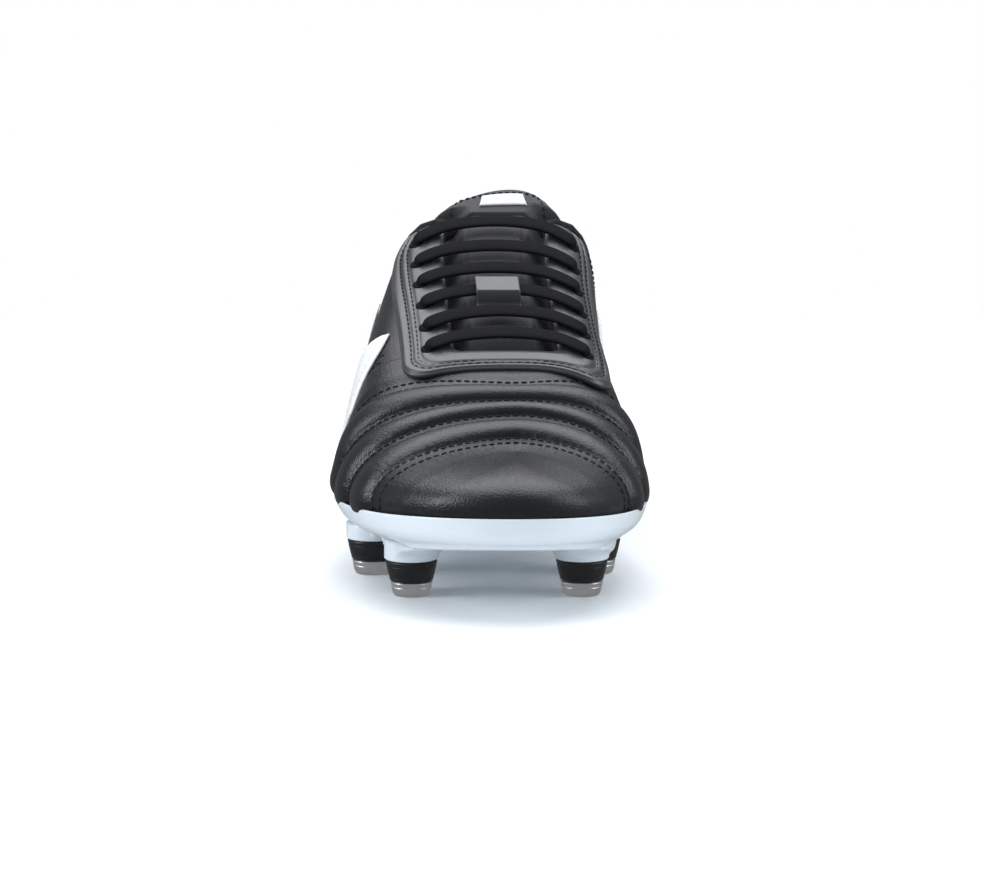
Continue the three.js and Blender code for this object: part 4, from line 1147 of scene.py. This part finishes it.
@dataclass
class Eyestay:
    """The stitched overlay that carries the twelve eyelets.

    Attributes:
        front: the station of its front edge.
        base: the station where the throat begins.
        end: the station of its two top ends.
        throat_half: half of the throat's width.
        out: from the lacing's middle to its outer edge.
        eyelet_out: from the lacing's middle to each eyelet.
        eyelet_radius: an eyelet's radius.
        first: the station of the first row of eyelets.
        pitch: from one row of eyelets to the next.
        count: rows of eyelets.
        width: its width along each side.
        stitch_rows: how far its two rows of stitches lie inside its outer edge.
    """

    front: float = 75.0
    base: float = 87.5
    end: float = 161.0
    throat_half: float = 17.3
    out: float = 33.7
    eyelet_out: float = 25.2
    eyelet_radius: float = 2.4
    first: float = 89.0
    pitch: float = 12.5
    count: int = 6
    width: float = 16.0
    stitch_rows: Tuple[float, float] = (3.4, 5.6)

    def row(self, k: float) -> float:
        """The station of eyelet row k."""
        return self.first + k * self.pitch

    def edges(self, s: Array) -> Tuple[Array, Array, Array, Array]:
        """The inner and outer edges at s from -1, the lateral top, round the front to 1.

        Args:
            s: places along the eyestay.

        Returns:
            Inner span, inner station, outer span and outer station.
        """
        side = np.where(s < 0, -1.0, 1.0)
        arm = np.abs(s)
        bend, turn, small, big = 0.24, 0.42, 4.0, 9.0
        share = np.clip(arm / bend, 0, 1)
        angle = np.clip((arm - bend) / (turn - bend), 0, 1) * math.pi / 2
        c, d = np.sin(angle), 1 - np.cos(angle)
        up = np.clip((arm - turn) / (1 - turn), 0, 1)
        ending = np.clip((arm - 0.90) / 0.10, 0, 1)
        tip = 9 * (1 - np.sqrt(1 - 0.98 * ending**2))
        straight = self.throat_half - small
        in_span = np.where(arm <= bend, share * straight, straight + small * c)
        out_span = np.where(arm <= bend, share * (self.out - big), self.out - big + big * c) - tip
        in_at = np.where(arm < turn, self.base + small * d, mix(self.base + small, self.end, up))
        out_at = np.where(arm < turn, self.front + big * d, mix(self.front + big, self.end, up))
        return side * in_span, in_at, side * out_span, out_at

    def place(self, s: Array, v: Array, above: Array) -> Array:
        """Points of the eyestay: v runs from its inner edge to its outer edge."""
        in_span, in_at, out_span, out_at = self.edges(s)
        return LAST.instep(mix(in_span, out_span, v), mix(in_at, out_at, v), above)

    def inset(self, distance: float) -> Array:
        """A path that distance inside the outer edge."""
        s = np.linspace(-0.995, 0.995, 260)
        in_span, in_at, out_span, out_at = self.edges(s)
        wide = np.hypot(out_span - in_span, out_at - in_at)
        return self.place(s, 1 - distance / wide, np.full(s.shape, LAST.overlay_out - 0.15))

    def build(self, looks: Wardrobe) -> None:
        """Makes the overlay, its stitches, and near-black discs that paint the shade inside its eyelets."""

        def place(u: Array, v: Array, w: Array) -> Array:
            s = 2 * u - 1
            edge = np.minimum(np.minimum(v, 1 - v) * self.width, np.minimum(u, 1 - u) * 190)
            inward = (1 - v) * self.width
            groove = 0.75 * sum(np.exp(-(((inward - row) / 0.7) ** 2)) for row in self.stitch_rows)
            swell = 0.35 * ease((v * self.width - 1) / 3)
            outside = LAST.overlay_out + swell - groove - 0.8 * (1 - ease(edge / 1.4))
            return self.place(s, v, np.where(w > 0.5, outside, 3.3))

        bm = slab(260, 40, place, (200, 16), (0.0, 0.4))
        done(bm, "eyestay_leather", looks.overlay, Piece.BOOT.value, ["eyestay"])
        rows = [self.inset(row) for row in self.stitch_rows]
        done(Stitching().sew(rows), "eyestay_stitches", looks.thread, Piece.BOOT.value)
        # Painted shade: each eyelet gets a thin disc in the lace's near-black finish, just above the leather,
        # standing in for the dark inside of the eyelet; the leather itself is not cut.
        shade_discs = bmesh.new()
        for side in Side:
            for k in range(self.count):
                low, high = LAST.instep([side.value * self.eyelet_out] * 2, [self.row(k)] * 2,
                                        np.array([LAST.overlay_out, LAST.overlay_out + 1]))
                turn = Vector(high - low).to_track_quat("Z", "X").to_matrix().to_4x4()
                at = Matrix.Translation(Vector(low)) @ turn
                r = self.eyelet_radius * MM
                bmesh.ops.create_cone(shade_discs, cap_ends=True, segments=24, radius1=r * 1.14, radius2=r * 1.1,
                                      depth=0.3 * MM, matrix=at @ Matrix.Translation((0, 0, 0.3 * MM)))
        done(shade_discs, "eyelet_shade_discs", looks.lace, Piece.BOOT.value)


# ------------------------------------------------------------------ tongue
@dataclass
class Tongue:
    """The padded tongue, its free top with a label, and the lace keeper.

    Attributes:
        start: the station of its front end.
        fold: the station where its free top begins.
        side_drop: its outside above the form beside the padding.
        centre: its outside above the form along the middle.
        thick: its thickness.
        flap: the length of its free top.
        lean: how far the free top's highest point lies to the lateral side.
        rise: how steeply the free top stands.
    """

    start: float = 80.0
    fold: float = 167.0
    side_drop: float = -5.4
    centre: float = 3.2
    thick: float = 4.6
    flap: float = 13.5
    lean: float = 0.26
    rise: float = math.radians(44)

    def half(self, t: Array) -> Array:
        """Half of the tongue's width, along the leather."""
        return mix(23.0, 27.5, ease((t - self.start) / 40))

    def place(self, span: Array, t: Array, w: Array, crown: Array) -> Array:
        """Points of the tongue's body; crown is extra padding on its outside."""
        opened = ease((t - 90) / 12)
        raised = 1 - ease((np.abs(span) - 9) / 9)
        tucked = mix(-0.5, self.side_drop, ease((t - 84) / 6))
        outside = mix(tucked, self.centre, raised * opened)
        thick = mix(2.4, self.thick, opened)
        under = mix(outside - thick, np.minimum(outside, self.side_drop) - thick, 0.55 * opened)
        return LAST.instep(span, t, np.where(w > 0.5, outside + crown, under))

    def flap_place(self, u: Array, v: Array, w: Array, above: Array) -> Array:
        """Points of the free top, which rises more steeply than the body."""
        across = 2 * u - 1
        half = mix(26.0, 17.5, np.clip(v, 0, 1) ** 0.7)
        fold = np.full(u.shape, self.fold)
        level = LAST.instep(across * half, fold, np.where(w > 0.5, self.centre, self.centre - self.thick))
        spread = ease(np.clip(v, 0, 1) / 0.45)[:, None]
        root = mix(self.place(across * half, fold, w, np.zeros(u.shape)), level, spread)
        skewed = across - self.lean * (1 - across**2)
        run = 0.75 + v * self.flap * np.sqrt(1 - (0.955 * skewed) ** 2)
        fade = np.where(w > 0.5, -0.6 * v, 0.8 * v) + above
        c, s = math.cos(self.rise), math.sin(self.rise)
        return root + (run[:, None] * np.array([0, c, s]) + fade[:, None] * np.array([0, -s, c])) * MM

    def build(self, looks: Wardrobe) -> None:
        """Makes the body, the free top, its stitches and label, and the keeper."""

        def body(u: Array, v: Array, w: Array) -> Array:
            t = mix(self.start, self.fold, v)
            seams = np.exp(-(((np.abs(2 * u - 1) - 0.36) / 0.03) ** 2))
            crown = 0.6 * np.cos(np.pi * (u - 0.5)) * (1 - seams) * ease((t - 92) / 10)
            return self.place((2 * u - 1) * self.half(t), t, w, crown)

        made = done(slab(90, 110, body, (55, 87)), "tongue_body", looks.tongue,
                    Piece.BOOT.value, ["tongue"])

        def free(u: Array, v: Array, w: Array) -> Array:
            edge = np.minimum(np.minimum(u, 1 - u) * 46, (1 - v) * 13.5)
            crown = 1.1 * ease(edge / 5) * ease(v / 0.12 + 0.4) - 0.7 * (1 - ease(edge / 1.6))
            return self.flap_place(u, v, w, np.where(w > 0.5, crown, -crown * 0.4))

        made = done(slab(80, 50, free, (46, 14), (0.4, 0.3)), "tongue_top", looks.tongue,
                    Piece.TONGUE_TOP.value, ["tongue_flap"])
        u = np.concatenate([np.full(20, 0.13), np.linspace(0.13, 0.87, 60), np.full(20, 0.87)])
        v = np.concatenate([np.linspace(0.12, 0.78, 20), np.full(60, 0.78), np.linspace(0.78, 0.12, 20)])
        row = self.flap_place(u, v, np.ones(100), np.full(100, 1.1))
        done(Stitching(pitch=2.4, length=1.8).sew([row]), "tongue_top_stitches", looks.thread,
             Piece.TONGUE_TOP.value)

        def label(u: Array, v: Array, w: Array) -> Array:
            edge = np.minimum(np.minimum(u, 1 - u) * 15, np.minimum(v, 1 - v) * 6)
            lift = np.where(w > 0.5, 1.9 - 0.25 * (1 - ease(edge / 0.6)), 1.0)
            return self.flap_place(mix(0.36, 0.73, u), mix(0.30, 0.70, v), np.ones(u.shape), lift)

        done(slab(30, 16, label, (15, 6), (0.4, 0.4)), "tongue_label_satin", looks.label,
             Piece.TONGUE_TOP.value, ["tongue_label"])
        self.keeper(looks)

    def keeper(self, looks: Wardrobe) -> None:
        """The short leather loop that the third bar of the lace passes under."""
        middle = EYESTAY.row(2) + LACING.arch

        def place(u: Array, v: Array, w: Array) -> Array:
            lift = ease((0.92 - np.abs(2 * v - 1)) / 0.38)
            under = mix(self.centre + 0.75, LACING.bar_height + 1.3, lift)
            edge = np.minimum(np.minimum(u, 1 - u) * 15, np.minimum(v, 1 - v) * 16)
            above = under + np.where(w > 0.5, 1.0 - 0.3 * (1 - ease(edge / 0.8)), 0)
            return LAST.instep((2 * u - 1) * 7.5, middle + (2 * v - 1) * 7, above)

        done(slab(24, 60, place, (15, 16), (0.4, 0)), "lace_keeper_leather", looks.overlay,
             Piece.BOOT.value, ["lace_keeper"])


# ------------------------------------------------------------------ lace
@dataclass
class Lacing:
    """The one lace, straight across six rows, with both ends tucked inside the boot.

    Attributes:
        arch: how far each bar bows towards the tongue's top.
        bar_height: the middle of a bar above the form at the crest.
        half_width: half of the flat lace's width.
        half_height: half of its thickness.
        real_length: its length from tip to tip, in metres; not used.
    """

    arch: float = 6.5
    bar_height: float = 7.2
    half_width: float = 3.1
    half_height: float = 0.85
    real_length: float = 0.72

    def bar(self, row: int, start: int) -> List[Tuple[float, float, float]]:
        """One bar from an eyelet over the tongue to the eyelet across, as span, station and height."""
        out = EYESTAY.eyelet_out
        steps = [
            (1, -1.9), (0.995, 4.6), (0.93, 6.9), (0.6, 7.3), (0, self.bar_height),
            (-0.6, 7.3), (-0.93, 6.9), (-0.995, 4.6), (-1, -1.9),
        ]
        return [(start * x * out, EYESTAY.row(row) + self.arch * (1 - x * x), above) for x, above in steps]

    def under(self, side: int, row_a: int, row_b: int) -> List[Tuple[float, float, float]]:
        """The lace inside a facing, halfway between two rows."""
        return [(side * (EYESTAY.eyelet_out + 0.6), (EYESTAY.row(row_a) + EYESTAY.row(row_b)) / 2, -2.7)]

    def wall(self, points: Sequence[Tuple[float, float]]) -> Tuple[Array, Array]:
        """Points just inside the medial wall, by station and height, and the directions out of it."""
        t, z = (np.array(column, float) for column in zip(*points))
        signs = np.ones(t.shape)
        h = LAST.h_at_height(signs, t, z)
        return LAST.lay(signs, t, h, -3), LAST.lay(signs, t, h, 1) - LAST.lay(signs, t, h, 0)

    def route(self) -> Tuple[Array, Array]:
        """The whole route and the leather's outward direction at each of its points."""
        middle = [(28.5, 161, -3.1), (26.5, 150, -3.0)]
        middle += self.bar(4, 1) + self.under(-1, 4, 2) + self.bar(2, -1) + self.under(1, 2, 0)
        middle += self.bar(0, 1) + self.bar(1, -1) + self.under(1, 1, 3)
        middle += self.bar(3, 1) + self.under(-1, 3, 5) + self.bar(5, -1)
        span, t, above = (np.array(column, float) for column in zip(*middle))
        over = LAST.instep(span, t, above)
        out = LAST.instep(span, t, above + 1) - over
        first, first_out = self.wall([(203, 59), (195, 63.5), (187, 69), (179, 76.5), (171, 86)])
        end, end_out = self.wall([(160, 88), (168, 77), (176, 67.5), (184, 60), (192, 54.5), (200, 50.5)])
        return np.concatenate([first, over, end]), np.concatenate([first_out, out, end_out])

    def build(self, looks: Wardrobe) -> None:
        points, out = self.route()
        fine = 7
        path = smooth_path(points, fine)
        normal = smooth_path(out, fine)
        across = directions_across(path, normal)
        run = run_along(path)
        steep = np.abs((np.gradient(path, axis=0) * normal).sum(1))
        steep /= np.linalg.norm(np.gradient(path, axis=0), axis=1) * np.linalg.norm(normal, axis=1)
        pinch = ease((steep - 0.25) / 0.5)
        for _ in range(3):
            pinch[1:-1] = (pinch[:-2] + 2 * pinch[1:-1] + pinch[2:]) / 4
        tails = ease(np.minimum(run, run[-1] - run) / 0.02)
        wide = mix(self.half_width, 2.0, pinch) * mix(0.5, 1.0, tails) * MM
        high = mix(self.half_height, 1.25, pinch) * MM
        piece = done(tube(path, across, wide, high, 20, square=0.62), "lace_flat", looks.lace,
                     Piece.BOOT.value, ["lace"])
        ends = (("lace_aglet_first", points[0], points[1]), ("lace_aglet_last", points[-1], points[-2]))
        for node, end, before in ends:
            line = (end - before) / np.linalg.norm(end - before)
            along = np.array([0.3, 0.6, 9.0, 17.9, 18.3])[:, None] * MM
            radius = np.array([1.35, 1.7, 1.7, 1.7, 1.3]) * MM
            side_way = np.tile(np.cross(line, [1.0, 0, 0]), (5, 1))
            done(tube(end + line * along, side_way, radius, radius, 20), f"{node}_tip", looks.tip,
                             Piece.BOOT.value, [node])
        LOG.info("lace length %.3f m", run[-1])


# ------------------------------------------------------------------ sole
@dataclass
class Stud:
    """One screw-in stud and the pedestal that holds it.

    Attributes:
        name: the stud's name in the frame.
        x: its place across, on the last; not used.
        t: its station.
        top: the top of its base above the ground.
        flare: how far the pedestal spreads at its root.
        base_low: the foot of its base above the ground.
        base_foot: its base's radius there.
        base_head: its base's radius at the top.
        flats: from its axis to each spanner flat.
        thread_pitch: from one ridge of its pin to the next.
        seat_radius: the pedestal's radius where the stud meets it.
    """

    name: str
    x: float
    t: float
    top: float
    flare: float
    base_low: float = 4.9
    base_foot: float = 7.0
    base_head: float = 8.4
    flats: float = 6.0
    thread_pitch: float = 0.8
    seat_radius: float = 8.8

    @property
    def middle(self) -> Tuple[float, float]:
        """The stud's axis in the frame, in metres."""
        low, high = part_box(f"stud_base_{self.name}")
        return ((low.x + high.x) / 2, (low.y + high.y) / 2)

    def base(self, looks: Wardrobe) -> None:
        """The black nylon base, with shallow rings and a rolled top edge."""
        low, high = self.base_low, self.top
        wall = []
        for s in np.linspace(0, 1, 41):
            groove = 0.16 * sum(math.exp(-(((s - at) / 0.022) ** 2)) for at in (0.16, 0.80, 0.88))
            radius = mix(self.base_foot, self.base_head, s**0.9) - groove
            wall.append((radius, mix(low + 0.3, high - 0.5, s)))
        profile = [(0, low + 1.6), (3.2, low + 1.6), (3.2, low), (6.7, low)] + wall
        profile += [(8.2, high), (2.75, high), (2.75, high - 3.9), (0, high - 3.9)]
        done(lathe(profile, self.middle, 56), f"{self.name}_base", looks.nylon,
             f"stud_{self.name}", [f"stud_base_{self.name}"])

    def tip(self, looks: Wardrobe) -> None:
        """The machined tip, with two spanner flats and a crowned foot."""
        foot = [(0, 0), (5.0, 0), (5.5, 0.1), (5.8, 0.4), (6.1, 0.9), (6.35, 1.9), (6.5, 2.6), (6.6, 2.8)]
        rest = [(6.45, 2.95), (6.5, 3.1), (6.75, 4.1), (6.85, 4.35), (6.7, 4.6)]
        rest += [(2.9, 4.6), (2.9, 6.1), (0, 6.1)]
        bm = lathe(foot + rest, self.middle, 56)
        y = self.middle[1]
        flat = self.flats * MM
        for vert in bm.verts:
            vert.co.y = y + max(-flat, min(flat, vert.co.y - y))
        done(bm, f"{self.name}_tip", looks.alloy, f"stud_{self.name}",
             [f"stud_tip_{self.name}"])

    def pin(self, looks: Wardrobe) -> None:
        """The threaded pin, a ridge for each pitch of its height."""
        low, high = (corner.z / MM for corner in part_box(f"stud_pin_{self.name}"))
        profile = [(0, low), (2.1, low)]
        z = low + 0.2
        while z < high - 0.9:
            profile += [(2.05, z), (2.45, z + 0.32), (2.45, z + 0.42), (2.05, z + 0.74)]
            z += self.thread_pitch
        profile += [(2.0, high - 0.2), (1.7, high), (0, high)]
        done(lathe(profile, self.middle, 32), f"{self.name}_pin", looks.steel,
             f"pin_{self.name}", [f"stud_pin_{self.name}"])

    def pedestal(self, looks: Wardrobe) -> None:
        """The flared foot of the sole round the stud's socket, kept inside the sole's own edge."""
        seat, root = self.top + 0.3, mix(LAST.underside(self.t), LAST.feather(self.t) - LAST.bed_drop, 0.45)
        profile = [(0, seat + 4.7), (4.5, seat + 4.7), (4.5, seat + 0.2), (4.7, seat), (8.4, seat)]
        high = LAST.underside(self.t) - seat
        for s in np.linspace(0, 1, 16):
            profile.append((self.seat_radius + self.flare * s**2.4, seat + 0.35 + s * (high + 0.4)))
        profile += [(self.seat_radius + self.flare, root), (0, root)]
        bm = lathe(profile, self.middle, 64)
        x0, y0 = self.middle
        edge = SOLE.outline()
        for vert in bm.verts:
            away = np.array([vert.co.x - x0, vert.co.y - y0])
            r = float(np.hypot(*away))
            if r < (self.seat_radius - 0.1) * MM:
                continue
            room = SOLE.room(edge, (x0, y0), away / r)
            limit = max(min(r, room), self.seat_radius * MM)
            vert.co.x, vert.co.y = x0 + away[0] / r * limit, y0 + away[1] / r * limit
        done(bm, f"pedestal_{self.name}", looks.sole, Piece.BOOT.value)

    def build(self, looks: Wardrobe) -> None:
        """Makes the stud and its pedestal."""
        self.base(looks)
        self.tip(looks)
        self.pin(looks)
        self.pedestal(looks)


@dataclass
class Sole:
    """The moulded outsole, the sockliner and the studs.

    Attributes:
        rim_in: the inside of its lip above the form.
        lip: the lip's thickness.
        wall: the thickness of its wall below the lip.
        studs: the six studs.
        table: each side's stations and the rises of the lip there.
    """

    rim_in: float = 4.5
    lip: float = 1.0
    wall: float = 2.4
    studs: Tuple[Stud, ...] = (
        Stud("front_lateral", *FIRST_STUD, 11.6, 9.0),
        Stud("front_medial", 26, 46, 11.6, 9.0),
        Stud("ball_lateral", -43, 83, 11.6, 8.0),
        Stud("ball_medial", 31.5, 84, 11.6, 8.0),
        Stud("heel_lateral", -19, 238, 14.6, 6.0),
        Stud("heel_medial", 18, 238, 14.6, 6.0),
    )
    table: Dict[int, Tuple[Array, Array]] = field(init=False)

    def __post_init__(self) -> None:
        """Tables the rise at which the sole's lip ends, for each side."""
        t = np.linspace(0, LAST.length, 240)
        self.table = {}
        for side in Side:
            signs = np.full(t.shape, float(side.value))
            low, high = np.zeros(t.shape), np.full(t.shape, 0.5)
            for _ in range(24):
                middle = (low + high) / 2
                under = LAST.lay(signs, t, middle, self.rim_in)[:, 2] / MM < LAST.bite(t)
                low, high = np.where(under, middle, low), np.where(under, high, middle)
            self.table[side.value] = (t, (low + high) / 2)

    def bites(self, side: int, t: Array) -> Array:
        """The rise of the bite line, where the upper meets the sole's lip."""
        return np.interp(t, *self.table[side])

    def around(self, share: Array) -> Tuple[Array, Array]:
        """The side and station at a share of the way round, crowded towards the tips."""
        return np.where(share <= 0.5, -1.0, 1.0), LAST.length * (1 - np.cos(2 * np.pi * share)) / 2

    def outline(self) -> Array:
        """The sole's lower edge, seen from below, in metres."""
        side, t = self.around(np.arange(160) / 160)
        return LAST.lay(side, t, np.zeros(160), self.rim_in + self.wall * 0.35)[:, :2]

    def room(self, edge: Array, start: Tuple[float, float], way: Array) -> float:
        """How far it is from a point to the sole's edge in one direction, in metres."""
        local = edge - np.array(start)
        ahead = local @ way
        off = local @ np.array([-way[1], way[0]])
        crossing = [
            ahead[i] + (ahead[i + 1] - ahead[i]) * off[i] / (off[i] - off[i + 1])
            for i in range(len(edge) - 1) if off[i] * off[i + 1] <= 0 and off[i] != off[i + 1]
        ]
        return min([c for c in crossing if c > 0], default=1.0)

    def plate(self) -> List[Callable[[Array], Array]]:
        """The outsole's rings, from the middle of its bed round its lip to the middle of its underside."""

        def bed(share_out: float) -> Callable[[Array], Array]:
            def ring(share: Array) -> Array:
                side, t = self.around(share)
                p = LAST.lay(side, t, np.zeros(t.shape), 0.0)
                middle = ORIGIN_SHIFT * MM
                p = middle + (p - middle) * share_out * 0.995
                p[:, 2] = (LAST.feather((p[:, 1] - middle[1]) / MM + LAST.length / 2) - LAST.bed_drop) * MM
                return p
            return ring

        def wall(rise: float, above: float) -> Callable[[Array], Array]:
            def ring(share: Array) -> Array:
                side, t = self.around(share)
                bite = np.where(side < 0, self.bites(-1, t), self.bites(1, t))
                return LAST.lay(side, t, rise * bite, above)
            return ring

        def under(share_out: float, inset: float, lift: float) -> Callable[[Array], Array]:
            def ring(share: Array) -> Array:
                side, t = self.around(share)
                p = LAST.lay(side, t, np.zeros(t.shape), self.rim_in + self.wall * 0.35)
                middle = ORIGIN_SHIFT * MM
                flat = (p - middle)[:, :2]
                size = np.linalg.norm(flat, axis=1, keepdims=True)
                flat = flat * share_out * (1 - inset * MM / size)
                z = LAST.underside(flat[:, 1] / MM + LAST.length / 2) + lift
                return np.column_stack([flat + middle[:2], z * MM])
            return ring

        r = self.rim_in
        return [
            bed(0), bed(0.5), bed(0.97), wall(0.35, r), wall(0.7, r), wall(0.97, r), wall(1.02, r + 0.12),
            wall(1.035, r + self.lip * 0.5), wall(1.02, r + self.lip - 0.05), wall(0.97, r + self.lip + 0.1),
            wall(0.85, r + self.lip + 0.35), wall(0.65, r + 2.0), wall(0.45, r + 2.35), wall(0.22, r + 2.3),
            under(1, 0, 2.2), under(1, 0.7, 0.8), under(1, 2.0, 0.1), under(0.93, 2.2, 0), under(0.6, 0, 0),
            under(0.3, 0, 0), under(0, 0, 0),
        ]

    def sockliner(self, looks: Wardrobe) -> None:
        """The cushioned insole, dished at the heel."""

        def place(u: Array, v: Array, w: Array) -> Array:
            t = LAST.length * (1 - np.cos(np.pi * mix(0.045, 0.955, v))) / 2
            edges = [LAST.lay(np.full(t.shape, s), t, np.zeros(t.shape), -0.9) for s in (-1.0, 1.0)]
            p = mix(edges[0], edges[1], u[:, None])
            rim = np.minimum(np.minimum(u, 1 - u) * 70, np.minimum(v, 1 - v) * 250)
            low = LAST.feather(t) - LAST.bed_drop + 2.8
            crown = 3.0 + 0.7 * np.abs(2 * u - 1) ** 3 * ease((t - 150) / 60) - 1.0 * (1 - ease(rim / 2.5))
            p[:, 2] = (low + np.where(w > 0.5, crown, 0.0)) * MM
            return p

        done(slab(60, 150, place, (70, 260), (0.3, 0.3)), "sockliner_cushion", looks.sockliner,
             Piece.SOCKLINER.value, ["sockliner"])

    def struts(self, looks: Wardrobe) -> None:
        """Raised ribs that stiffen the waist of the underside."""
        bm = bmesh.new()
        for x, start, end in ((-14, 128, 205), (-5, 118, 212), (4, 118, 212), (13, 128, 205)):
            y = np.linspace(start, end, 24)
            swing = x + 3.0 * np.sin(np.linspace(0, np.pi, 24)) * (1 if x < 0 else -1)
            along = y - LAST.length / 2 + ORIGIN_SHIFT[1]
            columns = [swing + ORIGIN_SHIFT[0], along, LAST.underside(y) - 0.1]
            path = np.column_stack(columns) * MM
            size = np.sin(np.linspace(0.15, np.pi - 0.15, 24)) ** 0.4
            strut = tube(path, np.tile([1.0, 0, 0], (24, 1)), 1.9 * size * MM, 1.3 * size * MM, 12)
            mesh = bpy.data.meshes.new("strut")
            strut.to_mesh(mesh)
            strut.free()
            bm.from_mesh(mesh)
            bpy.data.meshes.remove(mesh)
        done(bm, "sole_struts", looks.sole, Piece.BOOT.value)

    def build(self, looks: Wardrobe) -> None:
        """Makes the outsole, its struts, the sockliner and every stud."""
        done(rings(220, self.plate(), 4), "outsole_moulding", looks.sole, Piece.BOOT.value,
             ["outsole"])
        self.struts(looks)
        self.sockliner(looks)
        for stud in self.studs:
            stud.build(looks)


SOLE = Sole()
EYESTAY = Eyestay()
LACING = Lacing()


# ------------------------------------------------------------------ studio
@dataclass
class Studio:
    """The camera, the floor and the lights.

    Attributes:
        eye: the camera's place.
        tilt: how far it looks down, in degrees.
        turn: how far it looks towards the lateral side, in degrees.
        lens: its focal length on a 36 mm sensor.
        room: how much of the white room's light falls on the boot.
    """

    eye: Tuple[float, float, float] = (0.0038, -1.0952, 0.1994)
    tilt: float = 8.4
    turn: float = 0.147
    lens: float = 115.3
    room: float = 0.22

    def camera(self) -> None:
        """Places the camera."""
        data = bpy.data.cameras.new("camera")
        data.lens, data.sensor_width = self.lens, 36
        data.clip_start, data.clip_end = 0.05, 50
        camera = bpy.data.objects.new("camera", data)
        camera.location = self.eye
        camera.rotation_euler = (math.radians(90 - self.tilt), 0, math.radians(self.turn))
        bpy.context.scene.collection.objects.link(camera)
        bpy.context.scene.camera = camera

    def light(self, name: str, at: Tuple[float, float, float], aim: Tuple[float, float, float],
              size: Tuple[float, float], power: float, colour: Colour = (1, 1, 1)) -> bpy.types.Object:
        """A soft rectangular light at a place, aimed at a point."""
        data = bpy.data.lights.new(name, "AREA")
        data.shape, data.size, data.size_y = "RECTANGLE", *size
        data.energy, data.color = power, colour
        lamp = bpy.data.objects.new(name, data)
        lamp.location = at
        lamp.rotation_euler = (Vector(aim) - Vector(at)).to_track_quat("-Z", "Y").to_euler()
        bpy.context.scene.collection.objects.link(lamp)
        return lamp

    def floor(self) -> None:
        """A wide pale floor."""
        bm = bmesh.new()
        bmesh.ops.create_grid(bm, x_segments=4, y_segments=4, size=0.72)
        mesh = bpy.data.meshes.new("floor")
        bm.to_mesh(mesh)
        bm.free()
        plane = bpy.data.objects.new("floor", mesh)
        material = bpy.data.materials.new("floor_paper")
        material.use_nodes = True
        shader = material.node_tree.nodes["Principled BSDF"]
        shader.inputs["Base Color"].default_value = (0.95, 0.975, 1.0, 1)
        shader.inputs["Roughness"].default_value = 0.45
        mesh.materials.append(material)
        plane.visible_glossy = False
        bpy.context.scene.collection.objects.link(plane)

    def sky(self) -> None:
        """A white room behind the boot that lights it only faintly."""
        world = bpy.data.worlds.new("studio")
        world.use_nodes = True
        tree = Tree(world.node_tree)
        seen = tree.add("LightPath").outputs["Is Camera Ray"]
        strength = tree.ramp(seen, 0.0, 1.0, self.room, 1.0)
        background = world.node_tree.nodes["Background"]
        background.inputs[0].default_value = (1.0, 1.0, 1.0, 1)
        tree.link(strength, background.inputs[1])
        bpy.context.scene.world = world

    def build(self) -> None:
        """Sets up the whole studio."""
        bpy.context.scene.view_settings.view_transform = "Standard"
        self.camera()
        self.floor()
        self.sky()
        target = (0, 0, 0.05)
        self.light("overhead", (0.0, 0.25, 1.25), target, (1.7, 1.5), 26.0)
        self.light("left_window", (-1.0, -0.35, 0.5), target, (0.4, 0.8), 7.0, (0.95, 0.98, 1.0))
        self.light("right_window", (1.0, -0.25, 0.5), target, (0.4, 0.8), 5.0, (0.95, 0.98, 1.0))
        fill = self.light("front_fill", (0.0, -1.4, 0.5), target, (1.2, 0.6), 2.0, (0.93, 0.97, 1.0))
        fill.visible_glossy = False


def dress_frame(looks: Wardrobe) -> None:
    """Gives the frame's own nodes that stay their finishes."""
    kept = {"insole_board": looks.board, "toe_puff": looks.board, "heel_stiffener": looks.board}
    for stud in SOLE.studs:
        kept[f"stud_socket_{stud.name}"] = looks.steel
    for node, material in kept.items():
        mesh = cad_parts[node].data
        mesh.materials.clear()
        mesh.materials.append(material)


def main() -> None:
    """Builds the boot piece by piece."""
    logging.basicConfig(level=logging.INFO, format="%(name)s %(message)s")
    Studio().build()
    looks = Wardrobe()
    LACING.build(looks)
    SOLE.build(looks)
    Vamp().build(looks)
    Quarters().build(looks)
    EYESTAY.build(looks)
    Tongue().build(looks)
    dress_frame(looks)


if __name__ == "__main__":
    main()
